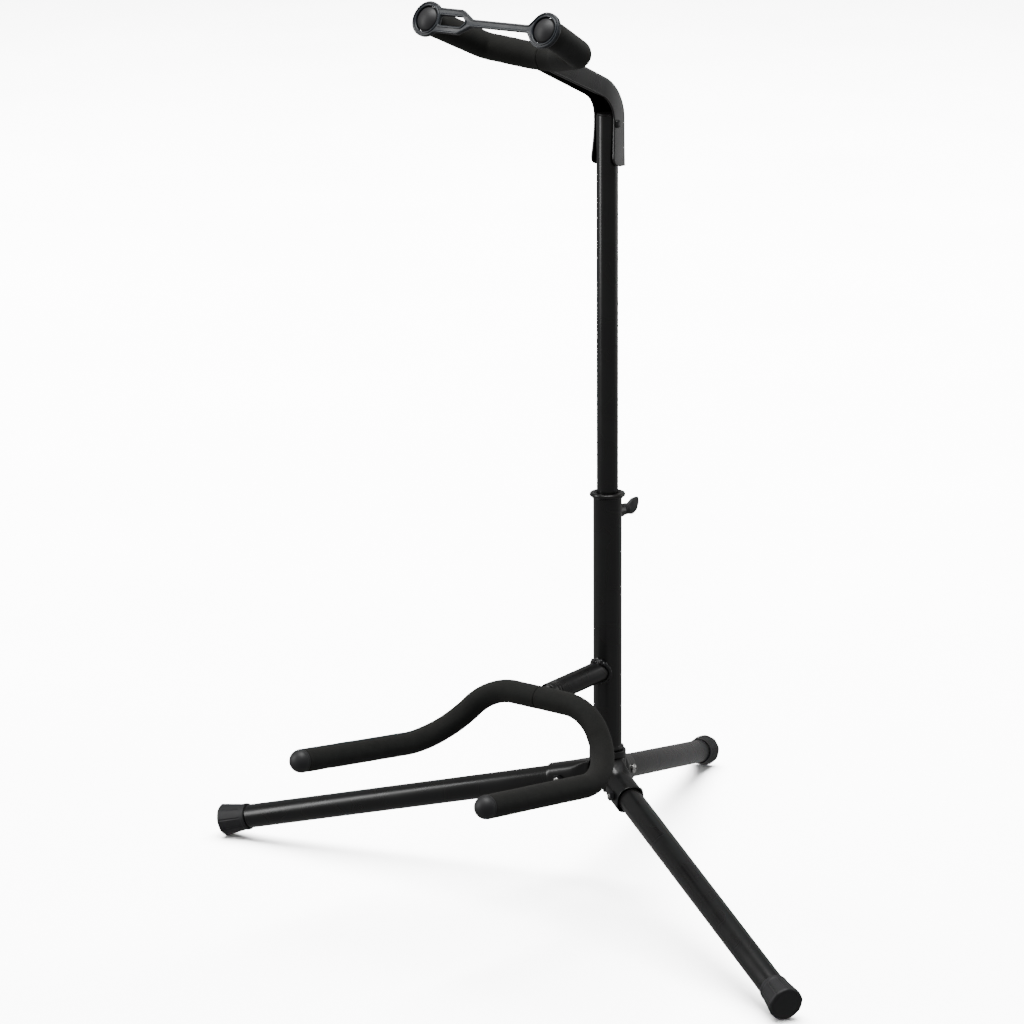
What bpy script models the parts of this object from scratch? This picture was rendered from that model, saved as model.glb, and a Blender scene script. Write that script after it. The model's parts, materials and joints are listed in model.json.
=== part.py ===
# A tubular floor stand for a guitar: three swivelling legs, a column with a
# sliding mast, a padded cradle for the body and a padded yoke for the neck.
# Metres, +Z up, the front of the stand towards -Y.

from math import asin, ceil, cos, degrees, pi, radians, sin, tan

import bmesh
import bpy
from mathutils import Matrix, Vector

MM = 0.001
GAP = 0.3 * MM              # between two pieces that touch

# column and mast
COLUMN_OD = 25.4 * MM
COLUMN_WALL = 1.5 * MM
COLUMN_RISE = 254.0 * MM    # ring stack's underside to the rolled rim
RIM_BEAD = 1.7 * MM
STOP_BEAD = 1.9 * MM        # bead that the ring stack bears against
MAST_ROOM = 1.7 * MM        # column's bore to the mast, on the radius
MAST_OD = COLUMN_OD - 2 * (COLUMN_WALL + MAST_ROOM)
MAST_WALL = 1.2 * MM
MAST_SHOWN = 333.5 * MM     # mast above the rim, as stood in use
MAST_HIDDEN = 120.0 * MM    # mast inside the column
BUSH_LENGTH = 40.0 * MM
PLUG_FIT = 0.3 * MM         # a plug in its tube, on the radius

# clamp screw
CLAMP_DROP = 20.0 * MM      # below the rim
SCREW_OD = 6.0 * MM
SCREW_SHOWN = 13.3 * MM     # screw outside the column
BOSS_OD = 12.0 * MM
BOSS_LENGTH = 6.5 * MM
PAD_TRAVEL = 0.7 * MM
WING_LENGTH = 15.0 * MM
WING_HEIGHT = 15.0 * MM
WING_THICK = 3.6 * MM

# legs and hub
LEG_TURN = {"left": -162.9, "right": -28.5, "back": 114.9}
LEG_RING = {"left": 0, "right": 1, "back": 2}
LEG_SLOPE = 13.5
LEG_OD = 22.0 * MM
LEG_WALL = 1.2 * MM
ROOT_LENGTH = 14.5 * MM     # rings to the tube's inner end, along the leg
LEG_END = 390.0 * MM
RING_WALL = 3.8 * MM
RING_HEIGHT = 6.2 * MM
STACK_RISE = 0.7 * MM       # ring stack's underside above the hub height
RUNNING = 0.3 * MM          # ring on column, and sleeve on the rings
SLEEVE_WALL = 1.3 * MM
SLEEVE_LENGTH = 24.0 * MM   # tube inside its sleeve
SLEEVE_ROOT_WIDTH = 16.0 * MM
SLEEVE_ARCH = 11.0 * MM      # radius of its upper edges
SLEEVE_EDGE = 8.0 * MM       # radius of its lower edges
BOLT_DEPTH = 13.0 * MM      # bolt from the tube's inner end
BOLT_OD = 5.0 * MM
BOLT_HEAD_OD = 8.6 * MM
BOLT_HEAD = 3.0 * MM
NUT_OD = 9.2 * MM
NUT_THICK = 3.6 * MM
CAP_FLOOR = 7.0 * MM        # rubber beyond the tube's end
CAP_LENGTH = 27.5 * MM
CAP_WALL = 1.4 * MM         # at the cap's rim
CAP_FLARE = 3.8 * MM        # cap's end beyond the tube, on the radius
CAP_LIP = 2.2 * MM          # radius on the cap's end edge
FOOT_FLAT = 0.6 * MM        # depth of the flat where a cap meets the floor

# cradle
STEM_RISE = 94.5 * MM       # stem's centre line above the hub, at the column
STEM_TILT = 4.5
STEM_OD = 19.0 * MM
STEM_WALL = 1.5 * MM
CRADLE_REACH = 93.3 * MM    # rod's centre from the column's axis, along the stem
CRADLE_KNEE = 55.0 * MM     # sideways, to where the rod turns down
CRADLE_HALF = 100.0 * MM    # sideways, at the foot of the drop
CRADLE_TIP_HALF = 104.6 * MM
CRADLE_DROP = 50.7 * MM
CRADLE_STEP = 21.4 * MM     # forward, over the drop
ARM_LENGTH = 171.5 * MM
ARM_RISE = 6.0
CRADLE_BEND = 55.0 * MM
CRADLE_ROD_OD = 10.0 * MM
CRADLE_FOAM_OD = 20.8 * MM
CRADLE_CAP = 10.4 * MM
STUB_OD = 8.0 * MM

# neck arm and yoke
YOKE_REACH = 84.0 * MM      # rod's centre from the column's axis
YOKE_ABOVE_MAST = 58.5 * MM
YOKE_TILT = 24.5
YOKE_CROWN = 12.0 * MM      # straight length each side of the arm
YOKE_CROWN_BEND = 40.0 * MM
YOKE_KNEE = 52.0 * MM
YOKE_SWEEP = 18.0 * MM      # forward, out to the knee
YOKE_HALF = 64.0 * MM       # sideways, at the buttons
YOKE_DEPTH = 80.5 * MM      # forward, out to the foam's end
YOKE_NOSE = 12.0 * MM       # straight length behind each button
YOKE_BEND = 14.0 * MM
YOKE_NOSE_BEND = 30.0 * MM
YOKE_ROD_OD = 8.0 * MM
YOKE_FOAM_OD = 23.6 * MM
NECK_WALL = 1.6 * MM
NECK_DEPTH = 16.0 * MM
NECK_TIP_DEPTH = 19.0 * MM   # at the yoke
NECK_TIP_WIDTH = 14.0 * MM
NECK_ABOVE_YOKE = 8.0 * MM
NECK_BEND = 40.0 * MM
NECK_NOTCH = 1.0 * MM       # foam clear of the arm, each side
NECK_SKIRT = 37.0 * MM      # channel's lower end, below its rivet
RIVET_DROP = 7.0 * MM       # rivet below the mast's top
RIVET_OD = 5.0 * MM
RIVET_HEAD_OD = 7.0 * MM
RIVET_HEAD = 1.6 * MM

# buttons and strap
BUTTON_OD = 22.4 * MM
BUTTON_SIDE = 2.6 * MM
BUTTON_DOME = 5.0 * MM
BUTTON_SOCKET = 3.0 * MM
STRAP_THICK = 4.4 * MM
STRAP_RING = 3.6 * MM       # band round the button
STRAP_CLEAR = 0.7 * MM      # ring round the button, on the radius
STRAP_WIDTH = 21.6 * MM     # across the slotted end
STRAP_WALL = 2.4 * MM       # between the ring's hole and the slot
SLOT_END = 42.0 * MM        # slot's far end from the button's axis
SLOT_WIDTH = 8.7 * MM
STRAP_SHOULDER = 37.0 * MM
BAR_START = 50.0 * MM
BAR_WIDTH = 6.6 * MM
HINGE_FROM_BUTTON = 24.0 * MM

SLOPE = radians(LEG_SLOPE)
STEM_TURN = radians(STEM_TILT)
YOKE_TURN = radians(YOKE_TILT)
COLUMN_R = COLUMN_OD / 2
SCREW_REACH = COLUMN_R + SCREW_SHOWN
RING_OD = COLUMN_OD + 2 * RING_WALL
LEG_START = RING_OD / 2 + ROOT_LENGTH
SLEEVE_MOUTH = LEG_START + SLEEVE_LENGTH
BOLT_AT = LEG_START + BOLT_DEPTH
CAP_END = LEG_END + CAP_FLOOR
CAP_RIM_OD = LEG_OD + 2 * CAP_WALL
CAP_END_OD = LEG_OD + 2 * CAP_FLARE
STRAP_RING_OD = BUTTON_OD + 2 * (STRAP_CLEAR + STRAP_RING)
LIP_CENTRE = (CAP_END_OD / 2 - CAP_LIP, CAP_END - CAP_LIP)
HUB_HEIGHT = LIP_CENTRE[0] * cos(SLOPE) + LIP_CENTRE[1] * sin(SLOPE) + CAP_LIP - FOOT_FLAT
STACK_BASE = HUB_HEIGHT + STACK_RISE
RIM_TOP = STACK_BASE + COLUMN_RISE
MAST_TOP = RIM_TOP + MAST_SHOWN
CLAMP_Z = RIM_TOP - CLAMP_DROP
YOKE_Z = MAST_TOP + YOKE_ABOVE_MAST
STRAP_BACK = YOKE_DEPTH + GAP
TO_FRONT = Matrix.Rotation(pi / 2, 4, "X")      # turns +Z to -Y
TO_BACK = Matrix.Rotation(-pi / 2, 4, "X")      # turns +Z to +Y
TO_RIGHT = Matrix.Rotation(pi / 2, 4, "Y")      # turns +Z to +X
DOWN_LEG = Matrix.Rotation(pi / 2 + SLOPE, 4, "Y")

COLOURS = {
    "powder_coat": ((0.014, 0.014, 0.016), 0.42, 0.0),
    "foam": ((0.016, 0.015, 0.015), 0.95, 0.0),
    "rubber": ((0.020, 0.021, 0.023), 0.6, 0.0),
    "strap_rubber": ((0.035, 0.042, 0.05), 0.45, 0.0),
    "nylon": ((0.012, 0.012, 0.012), 0.5, 0.0),
    "zinc": ((0.55, 0.54, 0.52), 0.3, 1.0),
    "black_steel": ((0.020, 0.020, 0.021), 0.38, 0.0),
}


def clear_scene():
    for item in list(bpy.data.objects):
        bpy.data.objects.remove(item, do_unlink=True)


def empty(name, matrix, parent=None):
    holder = bpy.data.objects.new(name, None)
    bpy.context.collection.objects.link(holder)
    holder.parent = parent
    holder.matrix_local = matrix
    return holder


def paint(piece, finish):
    colour, roughness, metallic = COLOURS[finish]
    material = bpy.data.materials.new(piece.name)
    material.use_nodes = True
    shader = material.node_tree.nodes["Principled BSDF"]
    shader.inputs["Base Color"].default_value = (*colour, 1.0)
    shader.inputs["Roughness"].default_value = roughness
    shader.inputs["Metallic"].default_value = metallic
    piece.data.materials.clear()
    piece.data.materials.append(material)


def add_piece(name, mesh_maker, finish, parent, matrix=Matrix()):
    """Makes one object from a bmesh, with its faces pointing out."""
    mesh = bpy.data.meshes.new(name)
    bmesh.ops.recalc_face_normals(mesh_maker, faces=mesh_maker.faces)
    mesh_maker.to_mesh(mesh)
    mesh_maker.free()
    piece = bpy.data.objects.new(name, mesh)
    bpy.context.collection.objects.link(piece)
    piece.parent = parent
    piece.matrix_local = matrix
    paint(piece, finish)
    return piece


def combine(piece, shape, operation, matrix=Matrix()):
    """Joins a shape to the piece or cuts it away, in the piece's own frame."""
    tool_mesh = bpy.data.meshes.new("tool")
    bmesh.ops.recalc_face_normals(shape, faces=shape.faces)
    shape.to_mesh(tool_mesh)
    shape.free()
    tool = bpy.data.objects.new("tool", tool_mesh)
    bpy.context.collection.objects.link(tool)
    tool.parent = piece
    tool.matrix_local = matrix
    change = piece.modifiers.new(operation.lower(), "BOOLEAN")
    change.operation = operation
    change.object = tool
    bpy.context.view_layer.update()
    seen = piece.evaluated_get(bpy.context.evaluated_depsgraph_get())
    result = bpy.data.meshes.new_from_object(seen)
    piece.modifiers.remove(change)
    old = piece.data
    piece.data = result
    result.name = piece.name
    bpy.data.meshes.remove(old)
    bpy.data.objects.remove(tool, do_unlink=True)


def smooth(piece, edge_degrees=35):
    piece.data.shade_smooth()
    piece.data.set_sharp_from_angle(angle=radians(edge_degrees))


def turned(profile, sides=24):
    """Turns a closed profile of (radius, height) points round the Z axis."""
    shape = bmesh.new()
    rings = []
    for radius, height in profile:
        if radius < 1e-7:
            rings.append([shape.verts.new((0, 0, height))])
            continue
        ring = []
        for step in range(sides):
            angle = 2 * pi * step / sides
            ring.append(shape.verts.new((radius * cos(angle), radius * sin(angle), height)))
        rings.append(ring)
    for index, ring in enumerate(rings):
        following = rings[(index + 1) % len(rings)]
        if len(ring) == 1 and len(following) == 1:
            continue
        for step in range(sides):
            after = (step + 1) % sides
            corners = [ring[step % len(ring)], ring[after % len(ring)]]
            corners += [following[after % len(following)], following[step % len(following)]]
            shape.faces.new(list(dict.fromkeys(corners)))
    return shape


def cylinder(radius, low, high, sides=24):
    return turned([(0, low), (radius, low), (radius, high), (0, high)], sides)


def tube(inner, outer, low, high, sides=24):
    return turned([(inner, low), (outer, low), (outer, high), (inner, high)], sides)


def box(low, high):
    shape = bmesh.new()
    bmesh.ops.create_cube(shape, size=1.0)
    size = Vector(high) - Vector(low)
    centre = (Vector(high) + Vector(low)) / 2
    bmesh.ops.scale(shape, vec=size, verts=shape.verts)
    bmesh.ops.translate(shape, vec=centre, verts=shape.verts)
    return shape


def prism(outline, low, high):
    """Extrudes an (x, z) outline from y = low to y = high."""
    shape = bmesh.new()
    front = [shape.verts.new((x, low, z)) for x, z in outline]
    back = [shape.verts.new((x, high, z)) for x, z in outline]
    shape.faces.new(front)
    shape.faces.new(reversed(back))
    for index in range(len(outline)):
        after = (index + 1) % len(outline)
        shape.faces.new((front[index], back[index], back[after], front[after]))
    return shape


def arc(centre, radius, start, end, steps):
    points = []
    for step in range(steps + 1):
        angle = radians(start + (end - start) * step / steps)
        points.append((centre[0] + radius * cos(angle), centre[1] + radius * sin(angle)))
    return points


def rounded_path(corners, bends, spacing):
    """Runs through the corners with an arc of the given radius at each inner one."""
    corners = [Vector(corner) for corner in corners]
    points = [corners[0]]
    for index, bend in enumerate(bends):
        before, corner, after = corners[index:index + 3]
        inward = (before - corner).normalized()
        onward = (after - corner).normalized()
        half = inward.angle(onward) / 2
        setback = bend / tan(half)
        centre = corner + (inward + onward).normalized() * bend / sin(half)
        first = corner + inward * setback - centre
        last = corner + onward * setback - centre
        turn = pi - 2 * half
        steps = max(2, ceil(turn * bend / spacing))
        for step in range(steps + 1):
            share = step / steps
            blend = first * sin((1 - share) * turn) + last * sin(share * turn)
            points.append(centre + blend / sin(turn))
    points.append(corners[-1])
    return points


def swept(path, outer, inner=0.0, sides=12):
    """Sweeps a round section, solid or with a bore, along the path."""
    shape = bmesh.new()
    first = (path[1] - path[0]).normalized()
    side = first.cross(Vector((0, 0, 1))).normalized()
    stations = []
    for index, point in enumerate(path):
        before = path[max(index - 1, 0)]
        after = path[min(index + 1, len(path) - 1)]
        along = (after - before).normalized()
        side = (side - along * side.dot(along)).normalized()
        stations.append((point, side.copy(), along.cross(side)))
    def skin(radius):
        rings = []
        for point, across, up in stations:
            ring = []
            for step in range(sides):
                angle = 2 * pi * step / sides
                ring.append(shape.verts.new(point + radius * (across * cos(angle) + up * sin(angle))))
            rings.append(ring)
        for ring, following in zip(rings, rings[1:]):
            for step in range(sides):
                after = (step + 1) % sides
                shape.faces.new((ring[step], ring[after], following[after], following[step]))
        return rings
    outside = skin(outer)
    if inner:
        inside = skin(inner)
        for ends in ((outside[0], inside[0]), (outside[-1], inside[-1])):
            for step in range(sides):
                after = (step + 1) % sides
                shape.faces.new((ends[0][step], ends[0][after], ends[1][after], ends[1][step]))
    else:
        shape.faces.new(outside[0])
        shape.faces.new(outside[-1])
    return shape


def mirrored(path):
    """The whole symmetrical path, from its right half."""
    left = [Vector((-point.x, point.y, point.z)) for point in reversed(path[1:])]
    return left + path


def column(stand):
    outer = COLUMN_R
    inner = COLUMN_R - COLUMN_WALL
    stop = STACK_BASE + 3 * RING_HEIGHT + 3 * RUNNING
    bead_z = RIM_TOP - RIM_BEAD
    profile = [(inner, STACK_BASE), (outer, STACK_BASE), (outer, stop)]
    profile += [(outer + STOP_BEAD, stop + 0.4 * MM), (outer + STOP_BEAD, stop + 1.2 * MM)]
    profile += [(outer, stop + 3 * MM)]
    profile += [(outer, bead_z - 1.6 * RIM_BEAD)]
    profile += arc((outer + RIM_BEAD * 0.8, bead_z), RIM_BEAD, -110, 120, 8)
    profile += [(inner, RIM_TOP - 0.2 * MM)]
    piece = add_piece("column", turned(profile), "powder_coat", stand)
    hole = cylinder(SCREW_OD / 2 + 0.4 * MM, 0, COLUMN_OD)
    combine(piece, hole, "DIFFERENCE", Matrix.Translation((0, 0, CLAMP_Z)) @ TO_BACK)
    smooth(piece)


def hub_cap(stand):
    """Closes the column's foot and holds the ring stack up."""
    plug = COLUMN_R - COLUMN_WALL - PLUG_FIT
    top = STACK_BASE - GAP
    flange = 3.0 * MM
    profile = [(0, top - flange), (RING_OD / 2 - 1 * MM, top - flange)]
    profile += [(RING_OD / 2, top - flange + 1 * MM), (RING_OD / 2, top)]
    profile += [(plug, top), (plug, top + 12 * MM), (plug - 1.5 * MM, top + 13 * MM)]
    profile += [(plug - 1.5 * MM, top + 1 * MM), (0, top + 1 * MM)]
    smooth(add_piece("hub_cap", turned(profile), "nylon", stand))


def top_bush(stand):
    outer = COLUMN_R - COLUMN_WALL - 0.2 * MM
    inner = MAST_OD / 2 + 0.2 * MM
    piece = add_piece("top_bush", tube(inner, outer, RIM_TOP - BUSH_LENGTH, RIM_TOP - 0.4 * MM),
                      "nylon", stand)
    window = cylinder(SCREW_OD / 2 + 0.4 * MM, 0, COLUMN_OD)
    combine(piece, window, "DIFFERENCE", Matrix.Translation((0, 0, CLAMP_Z)) @ TO_BACK)
    smooth(piece)


def mast(stand):
    rivet_z = MAST_TOP - RIVET_DROP
    outer = MAST_OD / 2
    piece = add_piece("mast", tube(outer - MAST_WALL, outer, RIM_TOP - MAST_HIDDEN, MAST_TOP),
                      "powder_coat", stand)
    hole = cylinder(RIVET_OD / 2 + GAP, -COLUMN_OD, COLUMN_OD, 16)
    across = Matrix.Translation((0, 0, rivet_z)) @ TO_RIGHT
    combine(piece, hole, "DIFFERENCE", across)
    smooth(piece)


def mast_foot(stand):
    """Slides in the column and carries the mast, which turns on it."""
    slide = COLUMN_R - COLUMN_WALL - 0.2 * MM
    plug = MAST_OD / 2 - MAST_WALL - PLUG_FIT
    top = RIM_TOP - MAST_HIDDEN - GAP
    profile = [(0, top - 5 * MM), (slide, top - 5 * MM), (slide, top)]
    profile += [(plug, top), (plug, top + 12 * MM), (0, top + 12 * MM)]
    smooth(add_piece("mast_foot", turned(profile), "nylon", stand))


def mast_plug(stand):
    plug = MAST_OD / 2 - MAST_WALL - PLUG_FIT
    low = MAST_TOP - RIVET_DROP + RIVET_OD / 2 + 2 * GAP
    cap = MAST_TOP + GAP
    profile = [(0, low), (plug, low), (plug, cap), (MAST_OD / 2 - 0.2 * MM, cap)]
    profile += [(MAST_OD / 2 - 0.2 * MM, cap + 0.8 * MM), (MAST_OD / 2 - 1.2 * MM, cap + 1.6 * MM)]
    profile += [(0, cap + 1.6 * MM)]
    smooth(add_piece("mast_plug", turned(profile), "nylon", stand))


def clamp_boss(holder):
    """Threaded boss welded over the hole in the column."""
    piece = add_piece("clamp_boss", tube(SCREW_OD / 2 + GAP, BOSS_OD / 2, COLUMN_R - 4 * MM,
                                         COLUMN_R + BOSS_LENGTH), "powder_coat", holder)
    bearing = cylinder(COLUMN_R + GAP, -BOSS_OD, BOSS_OD)
    combine(piece, bearing, "DIFFERENCE", TO_FRONT)
    smooth(piece)


def thumb_screw(holder):
    tip = COLUMN_R + 0.1 * MM
    shank = SCREW_OD / 2
    neck = COLUMN_R + BOSS_LENGTH + GAP
    profile = [(0, tip), (shank - 0.6 * MM, tip), (shank, tip + 0.6 * MM), (shank, neck)]
    profile += [(shank + 1.6 * MM, neck), (shank + 1.6 * MM, neck + 2 * MM)]
    profile += [(shank + 0.6 * MM, neck + 2.6 * MM), (shank + 0.6 * MM, SCREW_REACH), (0, SCREW_REACH)]
    piece = add_piece("thumb_screw", turned(profile, 24), "nylon", holder)
    start = SCREW_REACH - 3.5 * MM
    end = start + WING_LENGTH
    half = WING_HEIGHT / 2
    fillet = 5.0 * MM
    outline = [(-shank - 0.6 * MM, start), (shank + 0.6 * MM, start), (half, start + fillet)]
    outline += arc((half - fillet, end - fillet), fillet, 0, 90, 5)
    outline += arc((fillet - half, end - fillet), fillet, 90, 180, 5)
    outline += [(-half, start + fillet)]
    combine(piece, prism(outline, -WING_THICK / 2, WING_THICK / 2), "UNION",
            Matrix.Rotation(pi / 2, 4, "Z"))
    smooth(piece)


def clamp_pad(holder):
    front = MAST_OD / 2 + GAP
    back = COLUMN_R + 0.1 * MM - PAD_TRAVEL - GAP
    smooth(add_piece("clamp_pad", cylinder(SCREW_OD / 2, front, back, 24), "nylon", holder))


def neck_stations():
    """Points on the channel's back with its inward direction and width."""
    rivet_z = MAST_TOP - RIVET_DROP
    back = MAST_OD / 2 + GAP + NECK_WALL
    wide = 2 * back
    forward = Vector((0, -cos(YOKE_TURN), sin(YOKE_TURN)))
    upward = Vector((0, sin(YOKE_TURN), cos(YOKE_TURN)))
    rod = Vector((0, -YOKE_REACH, YOKE_Z))
    tip = rod + upward * NECK_ABOVE_YOKE - forward * (YOKE_ROD_OD / 2 + GAP)
    run = (tip.y - back) / forward.y
    corner = tip - forward * run
    path = rounded_path([(0, back, rivet_z - NECK_SKIRT), corner, tip], [NECK_BEND], 4 * MM)
    length = sum((b - a).length for a, b in zip(path, path[1:]))
    straight = path[1].z - path[0].z
    stations = []
    travelled = 0.0
    for index, point in enumerate(path):
        if index:
            travelled += (point - path[index - 1]).length
        before = path[max(index - 1, 0)]
        after = path[min(index + 1, len(path) - 1)]
        along = (after - before).normalized()
        if index == len(path) - 1:
            along = forward
        inward = Vector((0, -along.z, along.y))
        share = max(0.0, (travelled - straight) / (length - straight))
        width = wide + (NECK_TIP_WIDTH - wide) * share
        deep = NECK_DEPTH + (NECK_TIP_DEPTH - NECK_DEPTH) * share
        stations.append((point, inward, width, deep))
    return stations


def neck_arm(stand):
    """A stamped channel: its back rises behind the mast and bends forward to the yoke."""
    shape = bmesh.new()
    rings = []
    for point, inward, width, deep in neck_stations():
        outer = width / 2
        inner = outer - NECK_WALL
        section = [(-outer, 0), (outer, 0), (outer, deep), (inner, deep)]
        section += [(inner, NECK_WALL), (-inner, NECK_WALL), (-inner, deep), (-outer, deep)]
        ring = [shape.verts.new(Vector((x, 0, 0)) + point + inward * depth) for x, depth in section]
        rings.append(ring)
    for ring, following in zip(rings, rings[1:]):
        for step in range(8):
            after = (step + 1) % 8
            shape.faces.new((ring[step], ring[after], following[after], following[step]))
    for ring in (rings[0], rings[-1]):
        shape.faces.new((ring[0], ring[1], ring[4], ring[5]))
        shape.faces.new((ring[1], ring[2], ring[3], ring[4]))
        shape.faces.new((ring[0], ring[5], ring[6], ring[7]))
    piece = add_piece("neck_arm", shape, "powder_coat", stand)
    hole = cylinder(RIVET_OD / 2 + GAP, -COLUMN_OD, COLUMN_OD, 16)
    across = Matrix.Translation((0, 0, MAST_TOP - RIVET_DROP)) @ TO_RIGHT
    combine(piece, hole, "DIFFERENCE", across)
    smooth(piece, 50)


def neck_rivet(stand):
    face = MAST_OD / 2 + GAP + NECK_WALL + GAP
    shank = RIVET_OD / 2
    head = RIVET_HEAD_OD / 2
    profile = [(0, -face - RIVET_HEAD), (head * 0.6, -face - RIVET_HEAD), (head, -face - 0.5 * MM)]
    profile += [(head, -face), (shank, -face), (shank, face), (head, face)]
    profile += [(head, face + 0.5 * MM), (head * 0.6, face + RIVET_HEAD), (0, face + RIVET_HEAD)]
    across = Matrix.Translation((0, 0, MAST_TOP - RIVET_DROP)) @ TO_RIGHT
    smooth(add_piece("neck_rivet", turned(profile, 16), "powder_coat", stand, across))


def yoke_path():
    """Right half of the yoke, flat in its own frame; forward is -Y."""
    nose = YOKE_DEPTH - YOKE_NOSE
    corners = [(0, 0, 0), (YOKE_CROWN, 0, 0), (YOKE_KNEE, -YOKE_SWEEP, 0)]
    corners += [(YOKE_HALF, -nose, 0), (YOKE_HALF, -YOKE_DEPTH, 0)]
    return rounded_path(corners, [YOKE_CROWN_BEND, YOKE_BEND, YOKE_NOSE_BEND], 6 * MM)


def cut_ends(path, start, end):
    """The path with its first and last points moved along their own runs."""
    moved = [point.copy() for point in path]
    moved[0] += (moved[1] - moved[0]).normalized() * start
    moved[-1] += (moved[-1] - moved[-2]).normalized() * end
    return moved


def yoke(plane):
    half = yoke_path()
    run = mirrored(cut_ends(half, 0, BUTTON_SOCKET))
    rod = add_piece("yoke_rod", swept(run, YOKE_ROD_OD / 2, sides=8), "powder_coat", plane)
    smooth(rod)
    bore = YOKE_ROD_OD / 2 + GAP
    notch = NECK_TIP_WIDTH / 2 + NECK_NOTCH
    root = YOKE_ROD_OD / 2
    for side, name in ((1, "yoke_foam_right"), (-1, "yoke_foam_left")):
        path = [Vector((side * point.x, point.y, 0)) for point in cut_ends(half, GAP / 2, 0)]
        piece = add_piece(name, swept(path, YOKE_FOAM_OD / 2, bore), "foam", plane)
        slot = box((-notch, root, -YOKE_FOAM_OD), (notch, YOKE_FOAM_OD, NECK_ABOVE_YOKE + GAP))
        combine(piece, slot, "DIFFERENCE")
        smooth(piece)


def yoke_buttons(plane):
    radius = BUTTON_OD / 2
    socket = YOKE_ROD_OD / 2 + GAP
    low = GAP
    crown = (radius ** 2 + BUTTON_DOME ** 2) / (2 * BUTTON_DOME)
    spread = radians(90) - asin((crown - BUTTON_DOME) / crown)
    profile = [(socket, low), (radius, low)]
    for step in range(6):
        angle = spread * (1 - step / 5)
        height = low + BUTTON_SIDE + BUTTON_DOME - crown + crown * cos(angle)
        profile.append((crown * sin(angle), height))
    profile += [(0, BUTTON_SOCKET + GAP), (socket, BUTTON_SOCKET + GAP)]
    for side, name in ((1, "yoke_button_right"), (-1, "yoke_button_left")):
        seat = Matrix.Translation((side * YOKE_HALF, -YOKE_DEPTH, 0)) @ TO_FRONT
        smooth(add_piece(name, turned(profile, 24), "strap_rubber", plane, seat))


def strap_anchor(plane):
    """The strap's fixed end, a ring round the right-hand button."""
    ring = STRAP_RING_OD / 2
    bar = BAR_WIDTH / 2
    hinge = HINGE_FROM_BUTTON - STRAP_THICK / 2 - GAP
    fan = 30
    outline = [(YOKE_HALF - hinge, -bar), (YOKE_HALF - ring - 1.5 * MM, -bar)]
    outline += arc((YOKE_HALF, 0), ring, 180 + fan, 540 - fan, 20)
    outline += [(YOKE_HALF - ring - 1.5 * MM, bar), (YOKE_HALF - hinge, bar)]
    front = -STRAP_BACK - STRAP_THICK
    piece = add_piece("strap_anchor", prism(outline, front, -STRAP_BACK), "strap_rubber", plane)
    hole = cylinder(BUTTON_OD / 2 + STRAP_CLEAR, 0, 2 * YOKE_DEPTH)
    combine(piece, hole, "DIFFERENCE", Matrix.Translation((YOKE_HALF, 0, 0)) @ TO_FRONT)
    smooth(piece)


def strap(hinge_line):
    """The swinging part: a bar, a slotted grip and a ring for the left-hand button."""
    middle = -STRAP_THICK / 2
    far = HINGE_FROM_BUTTON - 2 * YOKE_HALF
    bar = BAR_WIDTH / 2
    grip = STRAP_WIDTH / 2
    ring = STRAP_RING_OD / 2
    turn = degrees(asin(grip / ring))
    outline = [(0, -bar), (0, bar), (far + BAR_START, bar), (far + STRAP_SHOULDER, grip)]
    outline += arc((far, 0), ring, turn, 360 - turn, 20)
    outline += [(far + STRAP_SHOULDER, -grip), (far + BAR_START, -bar)]
    piece = add_piece("strap", prism(outline, middle, -middle), "strap_rubber", hinge_line)
    knuckle = -middle - 0.05 * MM
    combine(piece, cylinder(knuckle, 0.2 * MM - bar, bar - 0.2 * MM, 16), "UNION")
    hole = cylinder(BUTTON_OD / 2 + STRAP_CLEAR, -YOKE_DEPTH, YOKE_DEPTH)
    combine(piece, hole, "DIFFERENCE", Matrix.Translation((far, 0, 0)) @ TO_FRONT)
    start = far + BUTTON_OD / 2 + STRAP_CLEAR + STRAP_WALL
    end = far + SLOT_END
    half = SLOT_WIDTH / 2
    bevel = 3.5 * MM
    window = [(start + 1 * MM, -half), (end - bevel, -half), (end, -half + bevel), (end, half - bevel)]
    window += [(end - bevel, half), (start + 1 * MM, half), (start, half - 1 * MM), (start, 1 * MM - half)]
    combine(piece, prism(window, 2 * middle, -2 * middle), "DIFFERENCE")
    smooth(piece)


def cradle_stem(holder):
    """Tube welded to the column's front; its end carries the cradle rod."""
    end = CRADLE_REACH - CRADLE_FOAM_OD / 2 - GAP
    outer = STEM_OD / 2
    shape = tube(outer - STEM_WALL, outer, COLUMN_R - 6 * MM, end)
    piece = add_piece("cradle_stem", shape, "powder_coat", holder)
    upright = Matrix.Rotation(-pi / 2 - STEM_TURN, 4, "X")
    combine(piece, cylinder(COLUMN_R + GAP, -COLUMN_OD, COLUMN_OD), "DIFFERENCE", upright)
    smooth(piece)
    return end


def stem_weld(holder):
    start = COLUMN_R - 3 * MM
    low = STEM_OD / 2 + GAP
    profile = [(low, start), (low + 3.2 * MM, start), (low + 3.2 * MM, COLUMN_R + 2.2 * MM)]
    profile += [(low + 2 * MM, COLUMN_R + 3.6 * MM), (low, COLUMN_R + 4.4 * MM)]
    piece = add_piece("stem_weld", turned(profile), "powder_coat", holder)
    upright = Matrix.Rotation(-pi / 2 - STEM_TURN, 4, "X")
    combine(piece, cylinder(COLUMN_R + GAP, -COLUMN_OD, COLUMN_OD), "DIFFERENCE", upright)
    smooth(piece)


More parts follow.
